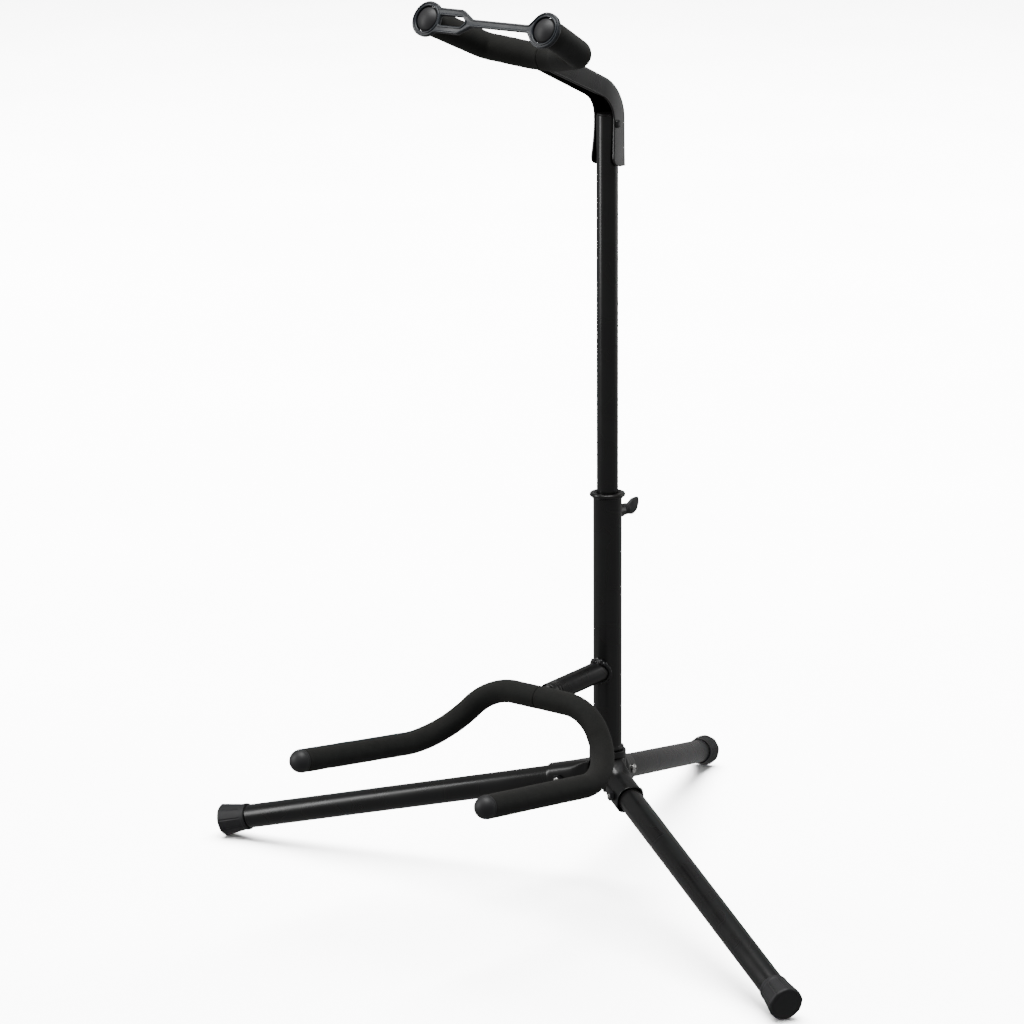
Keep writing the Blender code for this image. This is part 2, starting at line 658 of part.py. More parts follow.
def stem_plug(holder, end):
    """Closes the stem; its stub is welded to the cradle rod."""
    plug = STEM_OD / 2 - STEM_WALL - PLUG_FIT
    stub = STUB_OD / 2
    nose = CRADLE_REACH - CRADLE_ROD_OD / 2 - GAP
    profile = [(0, end - 8 * MM), (plug, end - 8 * MM), (plug, end - 1 * MM), (plug - 1 * MM, end)]
    profile += [(stub, end), (stub, nose), (0, nose)]
    smooth(add_piece("stem_plug", turned(profile, 24), "powder_coat", holder))


def cradle_path():
    """Right half of the cradle rod, from the end of the stem."""
    rise = radians(ARM_RISE)
    knee = Vector((CRADLE_KNEE, 0, 0))
    foot = Vector((CRADLE_HALF, -CRADLE_STEP, -CRADLE_DROP))
    outward = CRADLE_TIP_HALF - CRADLE_HALF
    tip = foot + Vector((outward, -ARM_LENGTH * cos(rise), ARM_LENGTH * sin(rise)))
    return rounded_path([Vector(), knee, foot, tip], [CRADLE_BEND, CRADLE_BEND], 9 * MM)


def cradle(holder):
    half = cradle_path()
    rod_reach = CRADLE_CAP - CRADLE_ROD_OD / 2
    rod = mirrored(cut_ends(half, 0, rod_reach))
    smooth(add_piece("cradle_rod", swept(rod, CRADLE_ROD_OD / 2, sides=8), "powder_coat", holder))
    bore = CRADLE_ROD_OD / 2 + GAP
    for side, name in ((1, "right"), (-1, "left")):
        path = [Vector((side * point.x, point.y, point.z)) for point in cut_ends(half, GAP / 2, 0)]
        foam = add_piece("cradle_foam_" + name, swept(path, CRADLE_FOAM_OD / 2, bore), "foam", holder)
        combine(foam, cylinder(STUB_OD / 2 + GAP, 0, CRADLE_FOAM_OD, 16), "DIFFERENCE",
                Matrix.Rotation(STEM_TURN - pi / 2, 4, "X"))
        smooth(foam)
        along = (path[-1] - path[-2]).normalized()
        turn = along.to_track_quat("Z", "Y").to_matrix().to_4x4()
        seat = Matrix.Translation(path[-1]) @ turn
        cradle_cap("cradle_cap_" + name, holder, seat, bore, rod_reach)


def cradle_cap(name, holder, seat, bore, rod_reach):
    outer = CRADLE_FOAM_OD / 2
    low = GAP
    straight = CRADLE_CAP + 1.6 * MM - outer
    profile = [(bore, low), (outer, low)]
    for step in range(6):
        angle = radians(90 * step / 5)
        profile.append((outer * cos(angle), low + straight + outer * sin(angle)))
    profile[-1] = (0, profile[-1][1])
    profile += [(0, rod_reach + GAP), (bore, rod_reach + GAP)]
    smooth(add_piece(name, turned(profile, 16), "rubber", holder, seat))


def sleeve_shape(half, start):
    """A sleeve with an arched top and a flatter underside, run down the leg's centre line."""
    outline = []
    for across, up, first in ((1, 1, 0), (-1, 1, 90), (-1, -1, 180), (1, -1, 270)):
        edge = SLEEVE_ARCH if up > 0 else SLEEVE_EDGE
        outline += arc((across * (half - edge), up * (half - edge)), edge, first, first + 90, 4)
    shape = prism(outline, start, SLEEVE_MOUTH)
    leg_axes = Matrix(((0, cos(SLOPE), sin(SLOPE), 0), (-1, 0, 0, 0),
                       (0, -sin(SLOPE), cos(SLOPE), 0), (0, 0, 0, 1)))
    shape.transform(leg_axes)
    return shape


def root_shape(half, root, top):
    """The bracket's tapered root, from the ring stack out into the sleeve."""
    narrow = SLEEVE_ROOT_WIDTH / 2
    join = LEG_START
    shape = bmesh.new()
    for side in (-1, 1):
        for height in (top, -root * tan(SLOPE) - half):
            shape.verts.new((root, side * narrow, height))
        spots = [(half - 0.7 * SLEEVE_ARCH, half - 0.5 * MM), (half - 0.5 * MM, half - 0.7 * SLEEVE_ARCH)]
        spots.append((half - 0.5 * MM, 1 * MM - half))
        for wide, height in spots:
            out = join * cos(SLOPE) + height * sin(SLOPE)
            shape.verts.new((out, side * wide, height * cos(SLOPE) - join * sin(SLOPE)))
    hull = bmesh.ops.convex_hull(shape, input=shape.verts)
    spare = [item for item in hull["geom_interior"] + hull["geom_unused"]]
    bmesh.ops.delete(shape, geom=list(set(spare)), context="VERTS")
    return shape


def leg_ring(name, turning, level):
    """The bracket's ring, which turns on the column."""
    low = STACK_RISE + level * (RING_HEIGHT + RUNNING)
    high = low + RING_HEIGHT
    shape = tube(COLUMN_R + RUNNING, RING_OD / 2, low, high)
    smooth(add_piece(name, shape, "powder_coat", turning))
    return high


def leg_bracket(name, turning, ring_top):
    """A tapered root, welded to the ring, and a sleeve that holds the leg."""
    bore = LEG_OD / 2 + GAP
    half = bore + SLEEVE_WALL
    root = RING_OD / 2 + RUNNING
    top = max(ring_top, half - root * tan(SLOPE))
    piece = add_piece(name, sleeve_shape(half, LEG_START - 2 * MM), "powder_coat", turning)
    combine(piece, root_shape(half, root, top), "UNION")
    combine(piece, cylinder(bore, LEG_START - GAP, 2 * SLEEVE_MOUTH), "DIFFERENCE", DOWN_LEG)
    hole = cylinder(BOLT_OD / 2 + GAP, -LEG_OD, LEG_OD, 16)
    combine(piece, hole, "DIFFERENCE", bolt_seat(TO_FRONT))
    smooth(piece)
    return half


def bolt_seat(towards):
    """Across the leg at the bolt, with the head on the side it turns towards."""
    return DOWN_LEG @ Matrix.Translation((0, 0, BOLT_AT)) @ towards


def leg_tube(name, turning):
    outer = LEG_OD / 2
    shape = tube(outer - LEG_WALL, outer, LEG_START, LEG_END)
    piece = add_piece(name, shape, "powder_coat", turning, DOWN_LEG)
    hole = cylinder(BOLT_OD / 2 + GAP, -LEG_OD, LEG_OD, 16)
    combine(piece, hole, "DIFFERENCE", Matrix.Translation((0, 0, BOLT_AT)) @ TO_FRONT)
    smooth(piece)


def leg_bolt(side, turning, half):
    seat = bolt_seat(TO_BACK if side == "right" else TO_FRONT)
    face = half + GAP
    shank = BOLT_OD / 2
    head = BOLT_HEAD_OD / 2
    end = -face - NUT_THICK - 1.5 * MM
    profile = [(0, end), (shank - 0.5 * MM, end), (shank, end + 0.5 * MM), (shank, face), (head, face)]
    profile += [(head, face + 0.8 * MM), (head * 0.7, face + BOLT_HEAD * 0.85), (0, face + BOLT_HEAD)]
    smooth(add_piece("leg_bolt_" + side, turned(profile, 16), "zinc", turning, seat))
    nut = add_piece("leg_nut_" + side, cylinder(NUT_OD / 2, -face - NUT_THICK, -face, 6),
                    "black_steel", turning, seat)
    combine(nut, cylinder(shank + GAP, -2 * half, 0, 16), "DIFFERENCE")


def foot_cap(name, turning):
    """A flared rubber cap over the leg's end, flat where it meets the floor."""
    bore = LEG_OD / 2 + GAP
    start = CAP_END - CAP_LENGTH
    rim = CAP_RIM_OD / 2
    profile = [(bore, start), (rim - 0.8 * MM, start), (rim, start + 0.8 * MM)]
    profile += [(CAP_END_OD / 2, CAP_END - CAP_LIP - 1 * MM)]
    profile += arc(LIP_CENTRE, CAP_LIP, 0, 90, 3)
    profile += [(0, CAP_END), (0, LEG_END + GAP), (bore, LEG_END + GAP)]
    piece = add_piece(name, turned(profile), "rubber", turning, DOWN_LEG)
    floor = box((0, -CAP_END, -2 * HUB_HEIGHT), (2 * CAP_END, CAP_END, -HUB_HEIGHT))
    combine(piece, floor, "DIFFERENCE", DOWN_LEG.inverted())
    smooth(piece)


def leg(stand, side):
    turn = Matrix.Rotation(radians(LEG_TURN[side]), 4, "Z")
    turning = empty("leg_axis_" + side, Matrix.Translation((0, 0, HUB_HEIGHT)) @ turn, stand)
    ring_top = leg_ring("leg_ring_" + side, turning, LEG_RING[side])
    half = leg_bracket("leg_bracket_" + side, turning, ring_top)
    leg_tube("leg_tube_" + side, turning)
    leg_bolt(side, turning, half)
    foot_cap("foot_cap_" + side, turning)


def centre_on_floor(stand):
    """Moves the whole part so that its box stands on the origin."""
    bpy.context.view_layer.update()
    corners = []
    for piece in bpy.data.objects:
        if piece.type == "MESH":
            corners += [piece.matrix_world @ vertex.co for vertex in piece.data.vertices]
    low = Vector([min(corner[axis] for corner in corners) for axis in range(3)])
    high = Vector([max(corner[axis] for corner in corners) for axis in range(3)])
    stand.location = (-(low.x + high.x) / 2, -(low.y + high.y) / 2, -low.z)


def build():
    clear_scene()
    stand = empty("stand", Matrix())
    column(stand)
    hub_cap(stand)
    top_bush(stand)
    mast(stand)
    mast_foot(stand)
    mast_plug(stand)
    clamp = empty("clamp_axis", Matrix.Translation((0, 0, CLAMP_Z)) @ TO_BACK, stand)
    clamp_boss(clamp)
    thumb_screw(clamp)
    clamp_pad(clamp)
    neck_arm(stand)
    neck_rivet(stand)
    tilt = Matrix.Translation((0, -YOKE_REACH, YOKE_Z)) @ Matrix.Rotation(-YOKE_TURN, 4, "X")
    plane = empty("yoke_plane", tilt, stand)
    yoke(plane)
    yoke_buttons(plane)
    strap_anchor(plane)
    hinge = (YOKE_HALF - HINGE_FROM_BUTTON, -STRAP_BACK - STRAP_THICK / 2, 0)
    strap(empty("strap_hinge", Matrix.Translation(hinge), plane))
    seat = Matrix.Translation((0, 0, HUB_HEIGHT + STEM_RISE))
    stem = empty("stem_axis", seat @ Matrix.Rotation(pi / 2 + STEM_TURN, 4, "X"), stand)
    stem_end = cradle_stem(stem)
    stem_weld(stem)
    stem_plug(stem, stem_end)
    drop = Vector((0, -cos(STEM_TURN), -sin(STEM_TURN))) * CRADLE_REACH
    cradle(empty("cradle_seat", Matrix.Translation(drop) @ seat, stand))
    for side in LEG_TURN:
        leg(stand, side)
    centre_on_floor(stand)


if __name__ == "__main__":
    build()
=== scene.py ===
import json
from math import asin, atan2, cos, pi, radians, sin, sqrt, tan

import bmesh
import bpy
from mathutils import Matrix, Vector, noise


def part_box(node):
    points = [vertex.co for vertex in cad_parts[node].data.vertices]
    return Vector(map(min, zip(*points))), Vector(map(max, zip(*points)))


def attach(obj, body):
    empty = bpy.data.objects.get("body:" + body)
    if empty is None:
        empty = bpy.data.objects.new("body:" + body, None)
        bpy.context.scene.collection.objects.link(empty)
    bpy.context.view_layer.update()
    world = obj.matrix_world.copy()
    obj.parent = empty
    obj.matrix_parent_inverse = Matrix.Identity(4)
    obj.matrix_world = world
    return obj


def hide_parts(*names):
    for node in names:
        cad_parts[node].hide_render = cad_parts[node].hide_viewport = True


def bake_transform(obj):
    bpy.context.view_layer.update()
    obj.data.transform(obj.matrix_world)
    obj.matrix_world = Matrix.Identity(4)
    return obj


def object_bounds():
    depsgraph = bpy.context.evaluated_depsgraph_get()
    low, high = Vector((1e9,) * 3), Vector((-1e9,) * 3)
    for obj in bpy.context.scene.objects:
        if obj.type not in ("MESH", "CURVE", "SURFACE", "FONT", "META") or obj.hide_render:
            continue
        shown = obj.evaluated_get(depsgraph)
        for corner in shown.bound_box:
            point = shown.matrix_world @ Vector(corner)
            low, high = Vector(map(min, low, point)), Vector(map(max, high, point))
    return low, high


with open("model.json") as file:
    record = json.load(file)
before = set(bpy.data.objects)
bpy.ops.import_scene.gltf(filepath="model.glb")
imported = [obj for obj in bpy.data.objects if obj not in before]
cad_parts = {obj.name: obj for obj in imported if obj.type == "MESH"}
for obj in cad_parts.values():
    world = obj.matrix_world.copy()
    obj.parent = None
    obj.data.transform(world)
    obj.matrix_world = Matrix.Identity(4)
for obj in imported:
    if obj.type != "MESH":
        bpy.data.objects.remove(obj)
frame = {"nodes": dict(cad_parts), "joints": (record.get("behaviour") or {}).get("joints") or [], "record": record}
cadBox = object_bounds()
mm = 0.001

joints = {joint["name"]: joint for joint in frame["joints"]}
mounts = {mount["name"]: mount for mount in frame["record"]["mounts"]}
hub = Vector(joints["leg_left_swivel"]["pos_m"])     # on the column's axis, where the legs meet
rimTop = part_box("column")[1].z
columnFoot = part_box("column")[0].z
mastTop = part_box("mast")[1].z
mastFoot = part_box("mast")[0].z
clampHeight = joints["thumb_screw_turn"]["pos_m"][2]


def softCorners(corners, steps=4):
    # closed outline in mm; a corner is (x, y) or (x, y, radius). Gives metres.
    points = []
    for index, corner in enumerate(corners):
        here = Vector(corner[:2])
        before = Vector(corners[index - 1][:2]) - here
        after = Vector(corners[(index + 1) % len(corners)][:2]) - here
        radius = corner[2] if len(corner) > 2 else 0.0
        half = before.angle(after) / 2
        if radius <= 0 or half > 1.5:
            points.append(here)
            continue
        reach = min(radius / tan(half), before.length * 0.49, after.length * 0.49)
        radius = reach * tan(half)
        centre = here + (before.normalized() + after.normalized()).normalized() * radius / sin(half)
        first = here + before.normalized() * reach - centre
        last = here + after.normalized() * reach - centre
        turn = pi - 2 * half
        for step in range(steps + 1):
            share = step / steps
            spoke = first * sin((1 - share) * turn) + last * sin(share * turn)
            points.append(centre + spoke / sin(turn))
    return [point * mm for point in points]


def lathe(profile, sides=96, reshape=None):
    # turns a closed profile round Z; reshape(angle, radius, height) gives a point's own radius
    shape = bmesh.new()
    rings = []
    for radius, height in profile:
        if radius < 1e-6:
            rings.append([shape.verts.new((0, 0, height))])
            continue
        ring = []
        for step in range(sides):
            angle = 2 * pi * step / sides
            reach = reshape(angle, radius, height) if reshape else radius
            ring.append(shape.verts.new((reach * cos(angle), reach * sin(angle), height)))
        rings.append(ring)
    for index, ring in enumerate(rings):
        following = rings[(index + 1) % len(rings)]
        if len(ring) == 1 and len(following) == 1:
            continue
        for step in range(sides):
            after = (step + 1) % sides
            corners = [ring[step % len(ring)], ring[after % len(ring)]]
            corners += [following[after % len(following)], following[step % len(following)]]
            shape.faces.new(list(dict.fromkeys(corners)))
    return shape


def loft(rings, loop=False):
    # skins rings of equal length; a loop's last ring joins its first, otherwise the ends are filled
    shape = bmesh.new()
    made = [[shape.verts.new(point) for point in ring] for ring in rings]
    count = len(rings[0])
    last = len(made) if loop else len(made) - 1
    for index in range(last):
        ring, following = made[index], made[(index + 1) % len(made)]
        for step in range(count):
            after = (step + 1) % count
            shape.faces.new((ring[step], ring[after], following[after], following[step]))
    if not loop:
        shape.faces.new(made[0])
        shape.faces.new(made[-1])
    return shape


def roundedPath(corners, bends, spacing):
    # straight runs through the corners with an arc at each inner one, all evenly spaced
    corners = [Vector(corner) for corner in corners]
    points = [corners[0]]

    def straightTo(target):
        start = points[-1].copy()
        steps = max(1, round((target - start).length / spacing))
        points.extend(start.lerp(target, step / steps) for step in range(1, steps + 1))

    for index, bend in enumerate(bends):
        before, corner, after = corners[index:index + 3]
        inward = (before - corner).normalized()
        onward = (after - corner).normalized()
        half = inward.angle(onward) / 2
        centre = corner + (inward + onward).normalized() * bend / sin(half)
        first = corner + inward * bend / tan(half) - centre
        last = corner + onward * bend / tan(half) - centre
        turn = pi - 2 * half
        straightTo(centre + first)
        steps = max(2, round(turn * bend / spacing))
        for step in range(1, steps + 1):
            share = step / steps
            spoke = first * sin((1 - share) * turn) + last * sin(share * turn)
            points.append(centre + spoke / sin(turn))
    straightTo(corners[-1])
    return points


def sweep(path, radiusAt, sides=64, startSide=Vector((0, 0, 1))):
    # round section along a path; radiusAt(distance, length, angle, bend) gives the radius, and bend
    # is how sharply the path turns towards that angle
    along = (path[1] - path[0]).normalized()
    side = along.cross(startSide).normalized()
    length = sum((b - a).length for a, b in zip(path, path[1:]))
    distance = 0.0
    rings = []
    for index, point in enumerate(path):
        before, after = path[max(index - 1, 0)], path[min(index + 1, len(path) - 1)]
        along = (after - before).normalized()
        side = (side - along * side.dot(along)).normalized()
        up = along.cross(side)
        curve = Vector()
        if 0 < index < len(path) - 1:
            gap = (after - before).length / 2
            curve = ((after - point).normalized() - (point - before).normalized()) / gap
        ring = []
        for step in range(sides):
            angle = 2 * pi * step / sides
            out = side * cos(angle) + up * sin(angle)
            ring.append(point + out * radiusAt(distance, length, angle, curve.dot(out)))
        rings.append(ring)
        if index < len(path) - 1:
            distance += (path[index + 1] - point).length
    return rings


def plate(outlines, thick, edge):
    # flat piece, with holes, in the XY plane and centred on it, with rounded edges
    curve = bpy.data.curves.new("plate", "CURVE")
    curve.dimensions = "2D"
    curve.fill_mode = "BOTH"
    curve.extrude = thick / 2 - edge
    curve.bevel_depth = edge
    curve.bevel_resolution = 3
    curve.offset = -edge
    for outline in outlines:
        spline = curve.splines.new("POLY")
        spline.points.add(len(outline) - 1)
        for spot, place in zip(spline.points, outline):
            spot.co = (place[0], place[1], 0, 1)
        spline.use_cyclic_u = True
    holder = bpy.data.objects.new("plate", curve)
    bpy.context.scene.collection.objects.link(holder)
    seen = holder.evaluated_get(bpy.context.evaluated_depsgraph_get())
    mesh = bpy.data.meshes.new_from_object(seen)
    shape = bmesh.new()
    shape.from_mesh(mesh)
    bmesh.ops.remove_doubles(shape, verts=shape.verts, dist=1e-6)
    bpy.data.objects.remove(holder)
    bpy.data.curves.remove(curve)
    bpy.data.meshes.remove(mesh)
    return shape


def rimBead(outline, inset, wide, thick, edge):
    # closed bead of rounded section that follows an outline in the XY plane, inset from it
    corners = [(-wide / 2, -thick / 2, edge), (wide / 2, -thick / 2, edge)]
    corners += [(wide / 2, thick / 2, edge), (-wide / 2, thick / 2, edge)]
    section = softCorners(corners, 3)
    area = sum(a[0] * b[1] - b[0] * a[1] for a, b in zip(outline, outline[1:] + outline[:1]))
    facing = 1 if area > 0 else -1
    rings = []
    for index, place in enumerate(outline):
        before, after = Vector(outline[index - 1]), Vector(outline[(index + 1) % len(outline)])
        along = (after - before).normalized()
        inward = Vector((-along.y, along.x)) * facing
        centre = Vector(place) + inward * inset * mm
        ring = [Vector((centre.x + inward.x * u, centre.y + inward.y * u, v)) for u, v in section]
        rings.append(ring)
    return loft(rings, loop=True)


def joined(*shapes):
    # several shells in one mesh
    whole = bmesh.new()
    for shape in shapes:
        part = bpy.data.meshes.new("part")
        shape.to_mesh(part)
        shape.free()
        whole.from_mesh(part)
        bpy.data.meshes.remove(part)
    return whole


def addPiece(name, shape, place, body, material, stands=(), sharp=40):
    # one object, baked into the row frame, riding on its CAD body
    bmesh.ops.recalc_face_normals(shape, faces=shape.faces)
    mesh = bpy.data.meshes.new(name)
    shape.to_mesh(mesh)
    shape.free()
    mesh.transform(place)
    mesh.shade_smooth()
    mesh.set_sharp_from_angle(angle=radians(sharp))
    mesh.materials.append(material)
    piece = bpy.data.objects.new(name, mesh)
    bpy.context.scene.collection.objects.link(piece)
    if body:
        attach(piece, body)
    if stands:
        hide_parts(*stands)
    return piece


def cutWith(piece, shape, place):
    # takes a shape away from a piece for good
    bmesh.ops.recalc_face_normals(shape, faces=shape.faces)
    mesh = bpy.data.meshes.new("cutter")
    shape.to_mesh(mesh)
    shape.free()
    mesh.transform(place)
    cutter = bpy.data.objects.new("cutter", mesh)
    bpy.context.scene.collection.objects.link(cutter)
    change = piece.modifiers.new("cut", "BOOLEAN")
    change.operation = "DIFFERENCE"
    change.solver = "EXACT"
    change.object = cutter
    seen = piece.evaluated_get(bpy.context.evaluated_depsgraph_get())
    result = bpy.data.meshes.new_from_object(seen)
    piece.modifiers.remove(change)
    old = piece.data
    piece.data = result
    bpy.data.meshes.remove(old)
    bpy.data.objects.remove(cutter)
    bpy.data.meshes.remove(mesh)
    result.shade_smooth()
    result.set_sharp_from_angle(angle=radians(40))


def boxShape(low, high):
    shape = bmesh.new()
    bmesh.ops.create_cube(shape, size=1.0)
    size = Vector(high) - Vector(low)
    bmesh.ops.scale(shape, vec=size * mm, verts=shape.verts)
    bmesh.ops.translate(shape, vec=(Vector(high) + Vector(low)) / 2 * mm, verts=shape.verts)
    return shape


def turn(degrees, axis):
    return Matrix.Rotation(radians(degrees), 4, axis)


def move(x, y, z):
    return Matrix.Translation((x, y, z))


def linear(hexColour):
    # sRGB hex to linear light
    parts = [int(hexColour[index:index + 2], 16) / 255 for index in (1, 3, 5)]
    return tuple(c / 12.92 if c <= 0.04045 else ((c + 0.055) / 1.055) ** 2.4 for c in parts) + (1.0,)


def addNode(material, kind, settings=None, links=()):
    # one node with its settings; links are (socket it takes from, its own input)
    node = material.node_tree.nodes.new(kind)
    for key, value in (settings or {}).items():
        if isinstance(key, str) and hasattr(node, key):
            setattr(node, key, value)
        else:
            node.inputs[key].default_value = value
    for source, target in links:
        material.node_tree.links.new(source, node.inputs[target])
    return node


def newMaterial(name, settings):
    material = bpy.data.materials.new(name)
    material.use_nodes = True
    shader = material.node_tree.nodes["Principled BSDF"]
    for key, value in settings.items():
        shader.inputs[key].default_value = value
    return material, shader


def vary(material, shader, dark, light, rough, size, seed=0.0, detail=3.0):
    # colour and roughness drift between two values over patches of the given size in mm
    place = addNode(material, "ShaderNodeTexCoord")
    shift = addNode(material, "ShaderNodeMapping", {"Location": (seed, seed, seed)},
                    [(place.outputs["Object"], "Vector")])
    patches = addNode(material, "ShaderNodeTexNoise", {"Scale": 1 / (size * mm), "Detail": detail},
                      [(shift.outputs["Vector"], "Vector")])
    spread = addNode(material, "ShaderNodeMapRange",
                     {"From Min": 0.2, "From Max": 0.8, "To Min": 0.0, "To Max": 1.0},
                     [(patches.outputs["Fac"], "Value")])
    colour = addNode(material, "ShaderNodeMix", {"data_type": "RGBA", 6: linear(dark), 7: linear(light)},
                     [(spread.outputs["Result"], 0)])
    gloss = addNode(material, "ShaderNodeMapRange", {"To Min": rough[0], "To Max": rough[1]},
                    [(spread.outputs["Result"], "Value")])
    links = material.node_tree.links
    links.new(colour.outputs[2], shader.inputs["Base Color"])
    links.new(gloss.outputs["Result"], shader.inputs["Roughness"])
    return shift


def bumpy(material, shader, heights, distance):
    # heights are (socket, strength) pairs, laid over each other
    normal = None
    for socket, strength in heights:
        links = [(socket, "Height")]
        if normal:
            links.append((normal, "Normal"))
        bump = addNode(material, "ShaderNodeBump", {"Strength": strength, "Distance": distance * mm}, links)
        normal = bump.outputs["Normal"]
    material.node_tree.links.new(normal, shader.inputs["Normal"])


# Polyester powder coat on steel tube, sprayed and baked: near black and satin, its faint orange
# peel breaks up long highlights.
powder = {"dark": "#0d0d0d", "light": "#121212", "rough": (0.25, 0.31), "peel": 1.6, "patch": 22}


def powderCoat():
    material, shader = newMaterial("satinPowderCoat", {"IOR": 1.5})
    place = vary(material, shader, powder["dark"], powder["light"], powder["rough"], powder["patch"],
                 detail=1.0)
    peel = addNode(material, "ShaderNodeTexNoise", {"Scale": 1 / (powder["peel"] * mm), "Detail": 1.0},
                   [(place.outputs["Vector"], "Vector")])
    bumpy(material, shader, [(peel.outputs["Fac"], 0.05)], 0.03)
    return material


# Weld bead under the same coat: the coat flows thin over it, so it is glossier than the tube.
def coatedWeld():
    material, shader = newMaterial("powderCoatedWeld", {"IOR": 1.5})
    place = vary(material, shader, "#101012", "#19191c", (0.16, 0.26), 5)
    grain = addNode(material, "ShaderNodeTexNoise", {"Scale": 1 / (0.9 * mm), "Detail": 3.0},
                    [(place.outputs["Vector"], "Vector")])
    bumpy(material, shader, [(grain.outputs["Fac"], 0.35)], 0.3)
    return material


# Extruded nitrile foam grip: open matt skin with closed cells about 0.4 mm wide, drawn at 0.9 mm
# so that they show, and a dusty bloom at grazing angles.
foamLook = {"dark": "#1b1b1a", "light": "#262624", "rough": (0.84, 0.95), "cell": 0.9, "patch": 9}


def foamSkin():
    material, shader = newMaterial("nitrileFoam", {"IOR": 1.45, "Sheen Weight": 0.05,
                                                   "Sheen Roughness": 0.5,
                                                   "Specular IOR Level": 0.2})
    place = vary(material, shader, foamLook["dark"], foamLook["light"], foamLook["rough"],
                 foamLook["patch"], detail=6.0)
    cells = addNode(material, "ShaderNodeTexVoronoi", {"Scale": 1 / (foamLook["cell"] * mm)},
                    [(place.outputs["Vector"], "Vector")])
    drift = addNode(material, "ShaderNodeTexNoise", {"Scale": 1 / (3.5 * mm), "Detail": 5.0},
                    [(place.outputs["Vector"], "Vector")])
    bumpy(material, shader, [(cells.outputs["Distance"], 0.6), (drift.outputs["Fac"], 0.25)], 0.3)
    return material


# Compression-moulded rubber, as on feet and end caps: dark and matt with a little bloom.
def mouldedRubber():
    material, shader = newMaterial("mouldedRubber", {"IOR": 1.52})
    place = vary(material, shader, "#19191b", "#212123", (0.48, 0.62), 7, 0.3)
    skin = addNode(material, "ShaderNodeTexNoise", {"Scale": 1 / (0.7 * mm), "Detail": 2.0},
                   [(place.outputs["Vector"], "Vector")])
    bumpy(material, shader, [(skin.outputs["Fac"], 0.25)], 0.08)
    return material


# Thermoplastic rubber strap, injection moulded: blue-grey, with the tool's satin polish.
def strapRubber():
    material, shader = newMaterial("strapElastomer", {"IOR": 1.5})
    place = vary(material, shader, "#1a1e23", "#21262c", (0.30, 0.40), 12, 0.7)
    skin = addNode(material, "ShaderNodeTexNoise", {"Scale": 1 / (0.8 * mm), "Detail": 2.0},
                   [(place.outputs["Vector"], "Vector")])
    bumpy(material, shader, [(skin.outputs["Fac"], 0.18)], 0.06)
    return material


# Glass-filled nylon, moulded in a spark-eroded tool: fine even grain, dull sheen.
def nylonMoulding(name, dark, light, rough):
    material, shader = newMaterial(name, {"IOR": 1.53})
    place = vary(material, shader, dark, light, rough, 6, 1.1)
    grain = addNode(material, "ShaderNodeTexVoronoi", {"Scale": 1 / (0.6 * mm)},
                    [(place.outputs["Vector"], "Vector")])
    bumpy(material, shader, [(grain.outputs["Distance"], 0.2)], 0.06)
    return material


# Nuts of chemically blackened, oiled steel.
def blackenedSteel():
    material, shader = newMaterial("blackenedSteel", {"IOR": 1.5})
    place = vary(material, shader, "#141416", "#222225", (0.28, 0.42), 3, 0.9)
    lines = addNode(material, "ShaderNodeTexNoise", {"Scale": 1 / (0.6 * mm), "Detail": 4.0},
                    [(place.outputs["Vector"], "Vector")])
    bumpy(material, shader, [(lines.outputs["Fac"], 0.2)], 0.06)
    return material


# Bright zinc plate on pressed steel: clear, faintly blue, with fine turning lines.
def zincPlate():
    material, shader = newMaterial("brightZinc", {"Metallic": 1.0})
    place = vary(material, shader, "#b9b8b6", "#d6d5d2", (0.20, 0.34), 2.5, 0.4)
    lines = addNode(material, "ShaderNodeTexNoise", {"Scale": 1 / (0.5 * mm), "Detail": 4.0},
                    [(place.outputs["Vector"], "Vector")])
    bumpy(material, shader, [(lines.outputs["Fac"], 0.15)], 0.05)
    return material


coat = powderCoat()
weldCoat = coatedWeld()
foam = foamSkin()
rubber = mouldedRubber()
elastomer = strapRubber()
nylon = nylonMoulding("blackNylon", "#131314", "#1b1b1c", (0.40, 0.52))
grip = nylonMoulding("gripNylon", "#1c1d1f", "#26272a", (0.34, 0.46))
zinc = zincPlate()
blackSteel = blackenedSteel()
print("materials made")


stand = move(hub.x, hub.y, 0)
tube = {"column": 12.7, "columnWall": 1.5, "mast": 9.5, "mastWall": 1.2, "rimBead": 3.05,
        "stopBead": 1.9, "stopRise": 20.2}


def standPoint(z):
    # a height in the row frame, in mm
    return z / mm


def makeColumn():
    outer, inner = tube["column"], tube["column"] - tube["columnWall"]
    foot, top = standPoint(columnFoot), standPoint(rimTop)
    bead, stop = outer + tube["rimBead"], foot + tube["stopRise"]
    corners = [(inner, foot, 0.3), (outer, foot, 0.4), (outer, stop - 0.2, 0.3)]
    corners += [(outer + tube["stopBead"], stop - 0.2, 0.9), (outer + tube["stopBead"], stop + 2.2, 1.0)]
    corners += [(outer, stop + 3.0, 0.9)]
    corners += [(outer, top - 5.2, 0.5), (outer + 0.9, top - 4.9, 0.4), (outer + 0.9, top - 4.0, 0.3)]
    corners += [(outer + 0.4, top - 3.7, 0.3), (bead, top - 3.6, 1.5), (bead, top, 1.5)]
    corners += [(inner, top, 1.2)]
    addPiece("columnTube", lathe(softCorners(corners, 6), 128), stand, "column", coat,
             ["column"])


